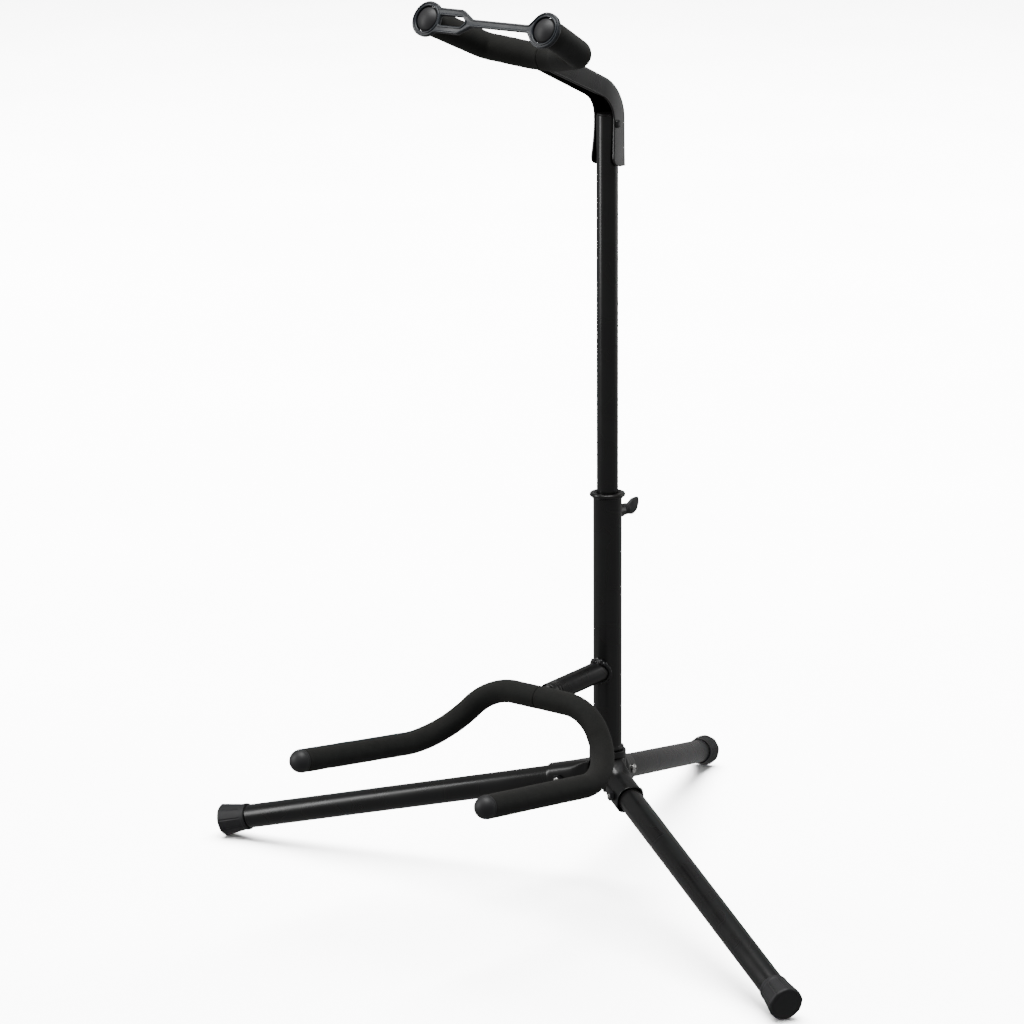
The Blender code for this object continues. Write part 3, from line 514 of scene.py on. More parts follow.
def makeMast():
    outer, inner = tube["mast"], tube["mast"] - tube["mastWall"]
    low, top = standPoint(mastFoot), standPoint(mastTop)
    corners = [(inner, low, 0.3), (outer, low, 0.4), (outer, top, 0.4), (inner, top, 0.3)]
    addPiece("mastTube", lathe(softCorners(corners), 112), stand, "mast", coat, ["mast"])
    plug = inner - 0.3
    cap = top + 0.3
    corners = [(0, cap - 6), (plug, cap - 6, 0.3), (plug, cap), (outer - 0.2, cap, 0.2)]
    corners += [(outer - 0.2, cap + 0.8, 0.5), (outer - 1.6, cap + 1.6, 0.8), (0, cap + 1.6)]
    addPiece("mastEndPlug", lathe(softCorners(corners), 72), stand, "mast", nylon,
             ["mast_plug"])


def makeBush():
    low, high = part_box("top_bush")
    outer, inner = (high.x - low.x) / 2 / mm, tube["mast"] + 0.2
    top = standPoint(high.z)
    corners = [(inner, standPoint(low.z), 0.2), (outer, standPoint(low.z), 0.2), (outer, top, 0.3)]
    corners += [(inner, top, 0.6)]
    addPiece("columnBush", lathe(softCorners(corners), 96), stand, "column", nylon,
             ["top_bush"])


def makeHubCap():
    low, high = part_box("hub_cap")
    foot, flange = standPoint(low.z), (high.x - low.x) / 2 / mm
    plug = tube["column"] - tube["columnWall"] - 0.3
    corners = [(0, foot + 0.8), (5, foot + 0.8, 0.4), (6, foot, 0.5), (flange, foot, 1.3)]
    corners += [(flange, foot + 3, 0.4), (plug, foot + 3), (plug, foot + 14, 0.8)]
    corners += [(plug - 1.5, foot + 15), (plug - 1.5, foot + 5), (0, foot + 5)]
    addPiece("hubEndCap", lathe(softCorners(corners), 96), stand, "column", nylon,
             ["hub_cap"])


makeColumn()
makeMast()
makeBush()
makeHubCap()
print("column and mast made")


clampFrame = move(hub.x, hub.y, clampHeight) @ turn(-90, "X")    # Z runs to the back
screw = {"bossRadius": 6.0, "bossEnd": 19.2, "neckStart": 19.5, "neckRadius": 5.2, "neckLong": 7.4,
         "ridges": 4, "wingThick": 3.4}


def makeBoss():
    radius, end = screw["bossRadius"], screw["bossEnd"]
    corners = [(3.3, 9.5), (radius + 1.5, 9.5), (radius + 1.4, 12.2, 0.8), (radius, 13.6, 0.9)]
    corners += [(radius, end, 0.6), (3.3, end, 0.4)]
    addPiece("clampBoss", lathe(softCorners(corners), 72), clampFrame, "column", coat,
             ["clamp_boss"])


def makeThumbScrew():
    start, radius = screw["neckStart"], screw["neckRadius"]
    long, ridges = screw["neckLong"], screw["ridges"]
    corners = [(0, 12.9), (2.5, 12.9, 0.2), (3.0, 13.4, 0.2), (3.0, start)]
    pitch = long / ridges
    for index in range(ridges):
        z = start + index * pitch
        corners += [(radius, z + 0.15, 0.35), (radius, z + pitch * 0.62, 0.35)]
        corners += [(radius - 0.8, z + pitch * 0.74, 0.2), (radius - 0.8, z + pitch * 0.98, 0.2)]
    corners += [(3.6, start + long + 0.6, 0.4), (0, start + long + 0.6)]
    neck = lathe(softCorners(corners, 3), 72)
    # the wing: one broad lobe, drawn out to a blunt point at its upper end
    reach = start + long - 1.2
    outline = [(-3.6, reach), (-5.4, reach + 3, 4), (-6.6, reach + 8.5, 6), (-3.4, reach + 14.4, 5)]
    outline += [(3.2, reach + 17.2, 5), (8.4, reach + 16.2, 1.2), (8.0, reach + 8.6, 6)]
    outline += [(4.8, reach + 3, 4), (3.6, reach)]
    wing = plate([softCorners(outline, 6)], screw["wingThick"] * mm, 1.0 * mm)
    # plate lies in XY with its length along Y: stand it up along the screw
    wing.transform(Matrix(((1, 0, 0, 0), (0, 0, 1, 0), (0, 1, 0, 0), (0, 0, 0, 1))))
    wing.transform(turn(-90, "Z"))
    addPiece("thumbScrew", joined(neck, wing), clampFrame, "thumb_screw", grip,
             ["thumb_screw"])


makeBoss()
makeThumbScrew()
print("clamp made")


legs = {"slope": 13.5, "radius": 11.0, "wall": 1.2, "start": 31.0, "end": 390.0,
        "ringRadius": 16.5, "ringBore": 13.0, "ringHigh": 6.2, "ringGap": 0.3, "stackRise": 0.7,
        "half": 12.6, "sheet": 1.2, "arch": 11.0, "edge": 8.0, "mouth": 55.0, "rootHalf": 8.0,
        "rootUpper": 2.2, "rootLower": 2.6, "boltAt": 44.0}
cap = {"start": 369.5, "end": 397.0, "rim": 12.4, "face": 14.8, "panels": 9, "groove": 0.75}
legSides = {"left": 0, "right": 1, "back": 2}                    # order of the rings, bottom up
downLeg = turn(90 + legs["slope"], "Y")                          # Z runs down the leg, X is under it


def legFrame(side):
    foot = Vector(mounts["floor_" + side]["pos_m"]) - hub
    return Matrix.Translation(hub) @ Matrix.Rotation(atan2(foot.y, foot.x), 4, "Z")


def roundedSection(halfWide, up, down, upper, lower, steps=9):
    # rounded rectangle as (across, up) points in mm, with its own radius above and below
    points = []
    for across, height, first in ((1, 1, 0), (-1, 1, 90), (-1, -1, 180), (1, -1, 270)):
        corner = min(upper if height > 0 else lower, halfWide * 0.98, (up + down) * 0.49)
        y = across * (halfWide - corner)
        z = (up if height > 0 else -down) - height * corner
        for step in range(steps + 1):
            angle = radians(first + 90 * step / steps)
            points.append((y + corner * cos(angle), z + corner * sin(angle)))
    return points


def makeBracket(side):
    slope = radians(legs["slope"])
    level = legSides[side]
    half, mouth = legs["half"], legs["mouth"]
    ringLow = legs["stackRise"] + level * (legs["ringHigh"] + legs["ringGap"])
    ringTop = ringLow + legs["ringHigh"]
    root = legs["ringRadius"] + legs["ringGap"]
    top = max(ringTop, half - root * tan(slope))
    bottom = root * tan(slope) + half

    def ease(share):
        return share * share * (3 - 2 * share)

    rings = []

    def station(distance, lean, halfWide, up, down, upper, lower):
        # distance down the leg's line; lean 0 is an upright section, 1 square to the leg
        tilt = slope * lean
        centre = Vector((distance * cos(slope), 0, -distance * sin(slope)))
        ring = []
        for y, z in roundedSection(halfWide, up, down, upper, lower):
            ring.append((centre + Vector((z * sin(tilt), y, z * cos(tilt)))) * mm)
        rings.append(ring)

    def square(distance, inset):
        # a whole section of the sleeve, smaller all round by the inset
        reach = half - inset
        station(distance, 1, reach, reach, reach, max(1, arch - inset), max(1, edge - inset))

    arch, edge = legs["arch"], legs["edge"]
    rootUpper, rootLower = legs["rootUpper"], legs["rootLower"]
    first = root / cos(slope)
    start = legs["start"]
    upFirst, downFirst = top + root * tan(slope), bottom - root * tan(slope)
    station(14.2 / cos(slope), 0, 10.4, upFirst, downFirst, 2, 2)
    station(15.2 / cos(slope), 0, 9.2, upFirst, downFirst, 2.4, 2.4)
    steps = 12
    for step in range(steps + 1):
        share = step / steps
        swell = ease(share)
        distance = first + (start - first) * share
        wide = legs["rootHalf"] + (half - legs["rootHalf"]) * swell
        station(distance, swell, wide, upFirst + (half - upFirst) * swell,
                downFirst + (half - downFirst) * swell, rootUpper + (arch - rootUpper) * swell,
                rootLower + (edge - rootLower) * swell)
    for step in range(1, 9):
        square(start + (mouth - 0.5 - start) * step / 8, 0)
    square(mouth - 0.12, 0.12)
    square(mouth, 0.4)
    sheet = legs["sheet"]
    square(mouth, sheet - 0.3)
    square(mouth - 0.3, sheet)
    square(mouth - 8, sheet)
    square(mouth - 16, sheet)
    square(mouth - 16, 8)
    sleeve = loft(rings)
    corners = [(legs["ringBore"], ringLow, 0.5), (legs["ringRadius"], ringLow, 0.9)]
    corners += [(legs["ringRadius"], ringTop, 0.9), (legs["ringBore"], ringTop, 0.5)]
    ring = lathe(softCorners(corners), 112)
    addPiece("legBracket_" + side, joined(sleeve, ring), legFrame(side), "leg_" + side, coat,
             ["leg_bracket_" + side, "leg_ring_" + side], 32)


def makeLegTube(side):
    outer, inner = legs["radius"], legs["radius"] - legs["wall"]
    corners = [(inner, legs["start"]), (outer, legs["start"], 0.4)]
    corners += [(outer, legs["end"], 0.4), (inner, legs["end"])]
    addPiece("legTube_" + side, lathe(softCorners(corners), 112), legFrame(side) @ downLeg,
             "leg_" + side, coat, ["leg_tube_" + side])


def makeFootCap(side):
    # a flared cap with flat panels between shallow grooves, standing on its lower edge
    start, end, rim, face = cap["start"], cap["end"], cap["rim"], cap["face"]
    long = end - start
    profile = [(11.3, start), (rim - 0.5, start), (rim - 0.1, start + 0.2), (rim, start + 0.7)]
    profile += [(rim + 0.1, start + 2.2), (rim + 0.1, start + 2.8), (rim - 0.25, start + 3.3)]
    steps = 26
    for step in range(steps + 1):
        share = step / steps
        profile.append((rim - 0.3 + (face - rim + 0.3) * share, start + 3.6 + (long - 6.0) * share))
    for step in range(1, 7):
        angle = radians(90 * step / 6)
        profile.append((face - 2.2 + 2.2 * cos(angle), end - 2.4 + 2.1 * sin(angle)))
    profile += [(face * 0.72, end - 0.22), (face * 0.4, end - 0.08), (0, end)]
    profile += [(0, end - 6.7), (11.3, end - 6.7)]
    profile = [(radius * mm, height * mm) for radius, height in profile]
    panels = cap["panels"]

    def fluted(angle, radius, height):
        along = (height / mm - start - 3.6) / (long - 6.0)
        if radius / mm < 11.6 or along <= 0:
            return radius
        strength = min(1, along * 8) * min(1, max(0.0, 1.35 - along) * 3)
        phase = (angle * panels / (2 * pi) + 0.5) % 1 - 0.5            # 0 at a panel's middle
        flat = cos(pi / panels) / cos(2 * pi / panels * phase)         # flat side of a polygon
        edge = max(0.0, (abs(phase) - 0.42) / 0.08)
        dip = cap["groove"] * mm * min(1, edge) * min(1.0, max(0.0, 1.04 - along) * 14)
        share = 0.55 * strength
        return radius * (1 - share + share * (flat + (1 - cos(pi / panels)) * 0.5)) - dip * strength

    shape = lathe(profile, 180, fluted)
    place = legFrame(side) @ downLeg
    shape.transform(place)
    for vertex in shape.verts:
        if vertex.co.z < 0:
            vertex.co.z = 0.0
    addPiece("footCap_" + side, shape, Matrix(), "leg_" + side, rubber,
             ["foot_cap_" + side], 30)


def crossSlot(size, deep):
    # a cross recess, to be cut from a screw head whose face is at z = 0
    first = boxShape((-size, -size * 0.22, -deep), (size, size * 0.22, deep))
    second = boxShape((-size * 0.22, -size, -deep), (size * 0.22, size, deep))
    return first, second


def makeLegBolt(side):
    face = legs["half"] + 0.3
    across = -90 if side == "right" else 90                        # the right leg's head is on its far side
    place = legFrame(side) @ downLeg @ move(0, 0, legs["boltAt"] * mm) @ turn(across, "X")
    head, high = 4.3, 3.0
    corners = [(0, 5), (2.3, 5), (2.3, face), (head - 0.2, face), (head, face + 0.3, 0.3)]
    corners += [(head, face + 0.9, 0.4), (head * 0.86, face + 2.0, 1.2), (head * 0.5, face + high, 1.4)]
    corners += [(0, face + high)]
    bolt = addPiece("legBolt_" + side, lathe(softCorners(corners, 5), 64), place, "leg_" + side, zinc,
                    ["leg_bolt_" + side])
    for slot in crossSlot(2.3, 1.7):
        cutWith(bolt, slot, place @ move(0, 0, (face + high) * mm))
    # threaded tail and nut, on the other flank
    tail = [(0, -5), (2.5, -5)]
    past = 5.0 if side == "left" else 3.8                          # how far it reaches past the sleeve
    z = -5.4
    while z > -face - past + 0.4:
        tail += [(2.5, z, 0.05), (2.15, z - 0.4, 0.05)]
        z -= 0.8
    tail += [(2.0, -face - past, 0.2), (0, -face - past)]
    addPiece("legBoltThread_" + side, lathe(softCorners(tail, 1), 48), place, "leg_" + side, zinc)

    def hexagon(angle, radius, height):
        flat = 4.6 * mm * cos(pi / 6) / cos((angle + pi / 6) % (pi / 3) - pi / 6)
        return min(radius, flat) if radius > 3 * mm else radius

    corners = [(2.55, -face), (5.4, -face), (5.4, -face - 2.9), (4.55, -face - 3.6), (2.55, -face - 3.6)]
    addPiece("legNut_" + side, lathe([(r * mm, z * mm) for r, z in corners], 96, hexagon), place,
             "leg_" + side, blackSteel, ["leg_nut_" + side], 25)


for side in legSides:
    makeBracket(side)
    makeLegTube(side)
    makeFootCap(side)
    makeLegBolt(side)
print("legs made")


cradle = {"stemRise": 94.5, "stemTilt": 4.5, "stemRadius": 9.5, "reach": 93.3, "knee": 55.0, "half": 100.0,
          "tipHalf": 104.6, "drop": 50.7, "step": 21.4, "arm": 171.5, "armRise": 6.0, "bend": 55.0,
          "foamRadius": 10.4, "capLong": 12.0}
stemFrame = move(hub.x, hub.y, hub.z + cradle["stemRise"] * mm) @ turn(90 + cradle["stemTilt"], "X")


def columnCore(less):
    # the column's bore and wall, where the stem meets it, to keep the mast's way clear
    radius, low, high = (tube["column"] - less) * mm, hub.z + 0.05, hub.z + 0.15
    return lathe([(0, low), (radius, low), (radius, high), (0, high)], 128)


def makeStem():
    outer, end = cradle["stemRadius"], cradle["reach"] - cradle["foamRadius"] - 0.3
    corners = [(outer - 1.5, 8.0), (outer, 8.0)]
    for z in (end - 9.5, end - 6.2):
        corners += [(outer, z - 0.7, 0.2), (outer - 0.6, z - 0.25, 0.2), (outer - 0.6, z + 0.25, 0.2)]
        corners += [(outer, z + 0.7, 0.2)]
    corners += [(outer, end, 0.6), (outer - 1.5, end, 0.4)]
    stem = addPiece("cradleStem", lathe(softCorners(corners), 112), stemFrame, "column", coat,
                    ["cradle_stem"])
    cutWith(stem, columnCore(0.1), stand)
    plug = outer - 1.5
    corners = [(0, end - 8), (plug - 0.1, end - 8), (plug - 0.1, end - 0.8, 0.4), (5.5, end + 0.1, 0.6)]
    corners += [(4, end + 0.1, 0.2), (4, cradle["reach"] - 5.3), (0, cradle["reach"] - 5.3)]
    addPiece("cradleStemPlug", lathe(softCorners(corners), 72), stemFrame, "column", coat,
             ["stem_plug"])


def makeStemWeld():
    # a hand-laid bead round the stem, where it meets the column
    outer = cradle["stemRadius"]
    sides, section = 220, 20
    rings = []
    for step in range(sides):
        angle = 2 * pi * step / sides
        across, up = cos(angle), sin(angle)
        x = outer * across
        reach = sqrt(tube["column"] ** 2 - x * x) + outer * up * tan(radians(cradle["stemTilt"]))
        out = Vector((across, up, 0))
        toStem = Vector((0, 0, 1))
        centre = out * (outer + 0.5) + toStem * (reach + 0.3)
        run = angle * outer
        heavy = 0.25 + (0.95 if up > 0 else 0.5) * abs(up) ** 1.5       # laid on mostly above and below
        scale = 1.2 + heavy * (1.5 + 1.3 * noise.noise(Vector((run * 0.33, 3, 1))))
        ring = []
        for turnStep in range(section):
            around = 2 * pi * turnStep / section
            spot = out * cos(around) + toStem * sin(around)
            lump = noise.noise(Vector((run * 0.8, cos(around) * 1.4, sin(around) * 1.4)))
            ring.append((centre + spot * (scale + 1.0 * heavy * lump)) * mm)
        rings.append(ring)
    weld = addPiece("stemWeld", loft(rings, loop=True), stemFrame, "column", weldCoat,
                    ["stem_weld"], 80)
    cutWith(weld, columnCore(0.3), stand)


def foamRadius(radius, seed, startRound, endRound, foot=5.2, squeeze=0.25):
    # radius of a foam sleeve: soft ends, slow unevenness, slightly flatter inside the bends
    def at(distance, length, angle, bend):
        d, l = distance / mm, length / mm
        unevenness = 0.16 * noise.noise(Vector((d * 0.05, cos(angle) + seed, sin(angle))))
        unevenness += 0.07 * noise.noise(Vector((d * 0.22, 2 * cos(angle), 2 * sin(angle) + seed)))
        inside = max(0.0, bend * mm * 40)                 # 1 on the inside of a 40 mm bend
        unevenness -= squeeze * min(1.0, inside)
        soft = radius + unevenness - 0.16
        for away, edge in ((d, startRound), (l - d, endRound)):
            if away < edge:
                soft -= edge * (1 - sqrt(max(0.0, 1 - ((edge - away) / edge) ** 2)))
        return max(soft, foot) * mm
    return at


def foamPath(path, edge):
    # more points near the ends, so that their edges are round
    length = sum((b - a).length for a, b in zip(path, path[1:]))
    marks = [0, 0.02, 0.08, 0.2, 0.4, 0.7, 1.0]
    wanted = [edge * mm * mark for mark in marks]
    step = 1.6 * mm
    count = round((length - 2 * edge * mm) / step)
    wanted += [edge * mm + (length - 2 * edge * mm) * index / count for index in range(1, count)]
    wanted += [length - edge * mm * mark for mark in reversed(marks)]
    points, index, travelled = [], 0, 0.0
    for goal in wanted:
        while index < len(path) - 2 and travelled + (path[index + 1] - path[index]).length < goal:
            travelled += (path[index + 1] - path[index]).length
            index += 1
        run = (path[index + 1] - path[index]).length
        points.append(path[index].lerp(path[index + 1], min(1.0, max(0.0, (goal - travelled) / run))))
    return points


def endCapped(rings, foot):
    # closes each end of a sleeve with a flat face down to the rod
    closed = []
    for ring, first in ((rings[0], True), (rings[-1], False)):
        centre = sum(ring, Vector()) / len(ring)
        closed.append([centre + (point - centre).normalized() * foot * mm for point in ring])
    return [closed[0]] + rings + [closed[1]]


def cradleHalf(side):
    rise = radians(cradle["armRise"])
    knee = Vector((cradle["knee"], 0, 0))
    foot = Vector((cradle["half"], -cradle["step"], -cradle["drop"]))
    out = cradle["tipHalf"] - cradle["half"]
    tip = foot + Vector((out, -cradle["arm"] * cos(rise), cradle["arm"] * sin(rise)))
    path = roundedPath([Vector((0.15, 0, 0)), knee, foot, tip], [cradle["bend"]] * 2, 1.2)
    return [Vector((side * point.x, point.y, point.z)) * mm for point in path]


def makeCradle():
    tilt = radians(cradle["stemTilt"])
    seat = move(hub.x, hub.y - cradle["reach"] * mm * cos(tilt),
                hub.z + (cradle["stemRise"] - cradle["reach"] * sin(tilt)) * mm)
    for side, name in ((1, "right"), (-1, "left")):
        path = foamPath(cradleHalf(side), 0.9)
        rings = sweep(path, foamRadius(cradle["foamRadius"], 3 + side, 0.9, 0.4))
        sleeve = addPiece("cradleFoam_" + name, loft(endCapped(rings, 5.1)), seat, "column", foam,
                          ["cradle_foam_" + name], 60)
        along = (path[-1] - path[-2]).normalized()
        end = Matrix.Translation(path[-1]) @ along.to_track_quat("Z", "Y").to_matrix().to_4x4()
        makeCradleCap(name, seat @ end)


def makeCradleCap(name, place):
    # a moulded end cap: short cuff with a rolled lip, then a round nose
    outer, long = cradle["foamRadius"], cradle["capLong"]
    corners = [(5.3, 0.3), (outer - 0.1, 0.3, 0.5), (outer, 1.0, 0.4), (outer - 0.05, 1.9, 0.3)]
    profile = softCorners(corners, 3)[1:]
    nose = long - 2.0
    for step in range(0, 17):
        angle = radians(90 * step / 16)
        profile.append(Vector(((outer - 0.25) * cos(angle), 2.1 + nose * sin(angle))) * mm)
    profile[-1].x = 0
    profile += [Vector((0, 2.0)) * mm, Vector((5.3, 2.0)) * mm, Vector((5.3, 0.3)) * mm]
    addPiece("cradleCap_" + name, lathe(profile, 80), place, "column", rubber,
             ["cradle_cap_" + name])


makeStem()
makeStemWeld()
makeCradle()
print("cradle made")


yoke = {"reach": 84.0, "rise": 58.5, "tilt": 24.5, "crown": 12.0, "crownBend": 40.0, "knee": 52.0,
        "sweep": 18.0, "half": 64.0, "depth": 80.5, "nose": 12.0, "bend": 14.0, "noseBend": 30.0,
        "foamRadius": 11.8, "rodRadius": 4.0, "button": 11.2}
arm = {"wall": 1.6, "deep": 16.0, "tipDeep": 19.0, "tipWide": 14.0, "aboveYoke": 8.0, "bend": 40.0,
       "skirt": 37.0, "rivetDrop": 7.0, "corner": 2.4, "heel": 5.0, "flare": 1.8, "flareDeep": 3.5,
       "lip": 0.3, "lipWide": 1.6, "endRound": 9.0}
yokeFrame = move(hub.x, hub.y - yoke["reach"] * mm, mastTop + yoke["rise"] * mm) @ turn(-yoke["tilt"], "X")


def makeNeckArm():
    top = standPoint(mastTop)
    rivetHeight = top - arm["rivetDrop"]
    back = tube["mast"] + 0.3 + arm["wall"]
    tilt = radians(yoke["tilt"])
    forward, upward = Vector((0, -cos(tilt), sin(tilt))), Vector((0, sin(tilt), cos(tilt)))
    rod = Vector((0, -yoke["reach"], top + yoke["rise"]))
    tip = rod + upward * arm["aboveYoke"] - forward * (yoke["rodRadius"] + 0.3)
    corner = tip - forward * (tip.y - back) / forward.y
    path = roundedPath([(0, back, rivetHeight - arm["skirt"]), corner, tip], [arm["bend"]], 1.0)
    runs = [0.0]
    for a, b in zip(path, path[1:]):
        runs.append(runs[-1] + (b - a).length)
    straight = runs[-1] - (tip - corner).length - 20
    rings = []
    wall = arm["wall"]
    for index, point in enumerate(path):
        before, after = path[max(index - 1, 0)], path[min(index + 1, len(path) - 1)]
        along = (after - before).normalized()
        inward = Vector((0, -along.z, along.y))
        share = max(0.0, (runs[index] - straight) / (runs[-1] - straight))
        low = max(0.0, 1 - runs[index] / arm["skirt"]) ** 1.6
        outer = back + (arm["tipWide"] / 2 - back) * share + arm["flare"] * low
        inner = outer - wall
        deep = arm["deep"] + arm["flareDeep"] * low + (arm["tipDeep"] - arm["deep"]) * share
        heel = arm["corner"] + (arm["heel"] - arm["corner"]) * low
        edge = arm["endRound"]
        if runs[index] < edge:
            deep -= edge * (1 - sqrt(max(0.0, 1 - ((edge - runs[index]) / edge) ** 2)))
        lip, lipWide = arm["lip"], arm["lipWide"]
        section = [(-outer, 0, heel), (outer, 0, heel)]
        section += [(outer, deep - lipWide, 0.5), (outer + lip, deep - lipWide + 0.5, 0.4)]
        section += [(outer + lip, deep, 0.6), (inner, deep, 0.5), (inner, wall, max(1.0, heel - wall))]
        section += [(-inner, wall, max(1.0, heel - wall)), (-inner, deep, 0.5), (-outer - lip, deep, 0.6)]
        section += [(-outer - lip, deep - lipWide + 0.5, 0.4), (-outer, deep - lipWide, 0.5)]
        ring = [point * mm + Vector((x, 0, 0)) + inward * depth for x, depth in softCorners(section, 4)]
        rings.append(ring)
    addPiece("neckArm", loft(rings), stand, "mast", coat, ["neck_arm"], 38)
    face = back + 0.3
    place = stand @ move(0, 0, rivetHeight * mm) @ turn(90, "Y")
    corners = [(0, -face - 1.6), (2.0, -face - 1.6, 1.2), (3.5, -face - 0.7, 0.7), (3.5, -face, 0.1)]
    corners += [(2.5, -face), (2.5, face), (3.5, face, 0.1), (3.5, face + 0.7, 0.7)]
    corners += [(2.0, face + 1.6, 1.2), (0, face + 1.6)]
    addPiece("neckRivet", lathe(softCorners(corners, 5), 64), place, "mast", weldCoat,
             ["neck_rivet"])


def yokeHalf(side):
    nose = yoke["depth"] - yoke["nose"]
    corners = [(0.15, 0, 0), (yoke["crown"], 0, 0), (yoke["knee"], -yoke["sweep"], 0)]
    corners += [(yoke["half"], -nose, 0), (yoke["half"], -yoke["depth"], 0)]
    path = roundedPath(corners, [yoke["crownBend"], yoke["bend"], yoke["noseBend"]], 1.0)
    return [Vector((side * point.x, point.y, 0)) * mm for point in path]


def makeYoke():
    notch = arm["tipWide"] / 2 + 0.9
    for side, name in ((1, "right"), (-1, "left")):
        path = foamPath(yokeHalf(side), 0.9)
        rings = sweep(path, foamRadius(yoke["foamRadius"], 7 + side, 0.9, 0.8, 4.2, 0.2), 72)
        sleeve = addPiece("yokeFoam_" + name, loft(endCapped(rings, 4.1)), yokeFrame, "mast", foam,
                          ["yoke_foam_" + name], 60)
        slot = boxShape((-notch, yoke["rodRadius"], -24), (notch, 24, arm["aboveYoke"] + 0.5))
        cutWith(sleeve, slot, yokeFrame)


def makeButtons():
    # domed studs that hold the strap, with a shallow groove round the edge
    edge = yoke["button"]
    corners = [(4.3, 0.3), (edge, 0.3, 0.5), (edge, 2.5, 0.6)]
    profile = softCorners(corners, 4)[1:]
    for step in range(1, 15):
        share = step / 14
        profile.append(Vector(((edge - 0.25) * (1 - share), 2.9 + 5.0 * (1 - (1 - share) ** 2.1))) * mm)
    profile += [Vector((0, 3.3)) * mm, Vector((4.3, 3.3)) * mm, Vector((4.3, 0.3)) * mm]
    for side, name in ((1, "right"), (-1, "left")):
        place = yokeFrame @ move(side * yoke["half"] * mm, -yoke["depth"] * mm, 0) @ turn(90, "X")
        addPiece("yokeButton_" + name, lathe(profile, 80), place, "mast", rubber,
                 ["yoke_button_" + name])


strapSizes = {"back": 80.8, "thick": 4.4, "ring": 15.5, "hole": 11.35, "bar": 3.3, "grip": 10.8,
              "shoulder": 27.0, "barStart": 14.0, "slotNear": 49.7, "slotFar": 22.0, "slotHalf": 4.35,
              "rim": 1.9, "rimRound": 0.9, "floor": 2.7}


def circle(x, radius, first, last, steps):
    return [Vector((x + radius * cos(radians(first + (last - first) * step / steps)),
                    radius * sin(radians(first + (last - first) * step / steps)))) * mm
            for step in range(steps + 1)]


def makeStrap():
    # one moulding: a ring, a slotted grip, a bar and a second ring, each edge with a raised rim
    s = strapSizes
    half, ring, bar, grip = yoke["half"], s["ring"], s["bar"], s["grip"]
    angle = asin(grip / ring) * 180 / pi
    fan = 30
    ends = softCorners([(-s["shoulder"], grip, 5), (-s["barStart"], bar, 8), (0, bar),
                        (half - ring - 1.5, bar, 2), (half - ring + 0.5, ring * 0.5), (half, 0),
                        (half - ring + 0.5, -ring * 0.5), (half - ring - 1.5, -bar, 2), (0, -bar),
                        (-s["barStart"], -bar, 8), (-s["shoulder"], -grip, 5), (-half, -grip),
                        (-half, grip)], 8)
    # left ring, lower edge, right ring, upper edge
    outline = circle(-half, ring, angle, 360 - angle, 72)
    lower = [point for point in ends if point.y < 0 and -half * mm < point.x < (half - ring) * mm]
    upper = [point for point in ends if point.y > 0 and -half * mm < point.x < (half - ring) * mm]
    lower.sort(key=lambda point: point.x)
    upper.sort(key=lambda point: -point.x)
    outline += spaced(lower, 1.5)
    outline += circle(half, ring, -180 + fan, 180 - fan, 72)
    outline += spaced(upper, 1.5)
    holes = [circle(side * half, s["hole"], 0, 355, 71) for side in (-1, 1)]
    window = softCorners([(-s["slotNear"], -s["slotHalf"], 1), (-s["slotFar"] - 3.5, -s["slotHalf"], 2),
                          (-s["slotFar"], -0.85, 1), (-s["slotFar"], 0.85, 1),
                          (-s["slotFar"] - 3.5, s["slotHalf"], 2), (-s["slotNear"], s["slotHalf"], 1)], 6)
    web = plate([outline, *holes, window], s["floor"] * mm, 0.5 * mm)
    rims = [rimBead(outline, s["rim"] / 2, s["rim"], s["thick"], s["rimRound"])]
    for hole in [*holes, window]:
        rims.append(rimBead(hole, -s["rim"] / 2, s["rim"], s["thick"], s["rimRound"]))
    # from the XY plane to the yoke's own: thickness along Y
    place = yokeFrame @ move(0, -(s["back"] + s["thick"] / 2) * mm, 0) @ turn(90, "X")
    strap = addPiece("strapMoulding", joined(web, *rims), place, None, elastomer,
                     ["strap", "strap_anchor"], 50)
    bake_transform(strap)


def spaced(points, gap):
    # adds points along long runs, so that the bead and the bend follow smoothly
    made = []
    for a, b in zip(points, points[1:]):
        steps = max(1, round((b - a).length / (gap * mm)))
        made += [a.lerp(b, step / steps) for step in range(steps)]
    return made + [points[-1]]


makeNeckArm()
makeYoke()
makeButtons()
makeStrap()
print("yoke made")


staying = {"cradle_rod": coat, "yoke_rod": coat, "mast_foot": nylon, "clamp_pad": nylon}
for name, material in staying.items():
    node = frame["nodes"][name]
    node.data.materials.clear()
    node.data.materials.append(material)


def makeFloor():
    material, shader = newMaterial("paleVinylFloor", {"IOR": 1.5})
    vary(material, shader, "#f6f6f6", "#fbfbfb", (0.55, 0.65), 400)
    shape = bmesh.new()
    bmesh.ops.create_grid(shape, x_segments=8, y_segments=8, size=30.0)
    mesh = bpy.data.meshes.new("floor")
    shape.to_mesh(mesh)
    shape.free()
    mesh.materials.append(material)
    floor = bpy.data.objects.new("floor", mesh)
    bpy.context.scene.collection.objects.link(floor)
    floor.location.z = cadBox[0].z - 0.0004
    floor.visible_glossy = False                    # keep its glare off the dark tubes
    floor.visible_diffuse = False
    return floor


def softBox(name, place, target, size, power):
    lamp = bpy.data.lights.new(name, "AREA")
    lamp.shape = "RECTANGLE"
    lamp.size, lamp.size_y = size
    lamp.energy = power
    holder = bpy.data.objects.new(name, lamp)
    bpy.context.scene.collection.objects.link(holder)
    holder.location = place
    aim = Vector(target) - Vector(place)
    holder.rotation_euler = aim.to_track_quat("-Z", "Y").to_euler()
    return holder


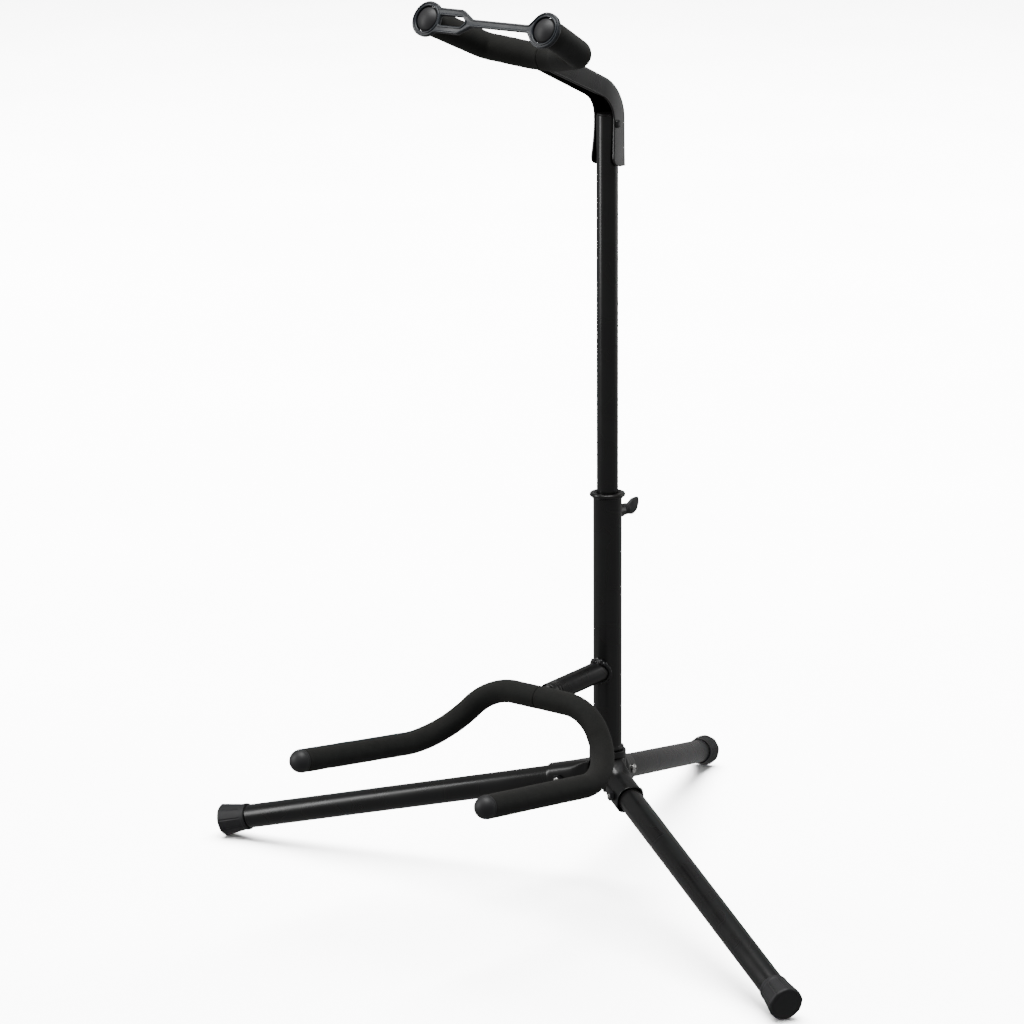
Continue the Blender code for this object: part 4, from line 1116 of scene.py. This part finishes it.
view = {"azimuth": 40.5, "elevation": 13.41, "roll": -0.32, "distance": 3.8275, "lens": 152.92,
        "targetHeight": 0.3424, "targetShift": -0.0840}


def makeCamera():
    azimuth, elevation, roll = (radians(view[key]) for key in ("azimuth", "elevation", "roll"))
    back = Vector((sin(azimuth) * cos(elevation), -cos(azimuth) * cos(elevation), sin(elevation)))
    right = Vector((cos(azimuth), sin(azimuth), 0))
    up = back.cross(right)
    side = right * cos(roll) + up * sin(roll)
    top = up * cos(roll) - right * sin(roll)
    place = Vector((hub.x, hub.y, view["targetHeight"])) + side * view["targetShift"]
    place += back * view["distance"]
    lens = bpy.data.cameras.new("camera")
    lens.lens = view["lens"]
    lens.sensor_width = 36
    camera = bpy.data.objects.new("camera", lens)
    bpy.context.scene.collection.objects.link(camera)
    camera.matrix_world = Matrix((
        (side.x, top.x, back.x, place.x), (side.y, top.y, back.y, place.y),
        (side.z, top.z, back.z, place.z), (0, 0, 0, 1)))
    bpy.context.scene.camera = camera
    return side, back


room = {"ambient": 0.29, "wash": 7000, "washHigh": 5.5, "washBack": 3.0, "washWide": 7,
        "overhead": 62, "left": 34, "right": 8}


def makeRoom():
    floor = makeFloor()
    right, back = makeCamera()
    level = Vector((back.x, back.y, 0)).normalized()
    world = bpy.data.worlds.new("studio")
    world.use_nodes = True
    world.node_tree.nodes["Background"].inputs["Color"].default_value = (1, 1, 1, 1)
    world.node_tree.nodes["Background"].inputs["Strength"].default_value = room["ambient"]
    bpy.context.scene.world = world
    target = (hub.x, hub.y, 0.35)
    # the wash whitens the floor alone, so that the black pieces keep their own tone
    lit = bpy.data.collections.new("floorOnly")
    lit.objects.link(floor)
    middle = -level * room["washBack"]
    wash = softBox("floorWash", middle + Vector((0, 0, room["washHigh"])), middle,
                   (room["washWide"], room["washWide"]), room["wash"])
    wash.visible_glossy = False
    wash.light_linking.receiver_collection = lit
    softBox("overhead", Vector((0, 0, 2.6)) + level * 0.3, target, (1.3, 1.3), room["overhead"])
    softBox("leftWall", -right * 2.4 + level * 0.4 + Vector((0, 0, 1.2)), target, (0.6, 2.0), room["left"])
    softBox("rightWall", right * 2.4 - level * 0.8 + Vector((0, 0, 1.0)), target, (0.5, 2.0), room["right"])


makeRoom()
print("room made")
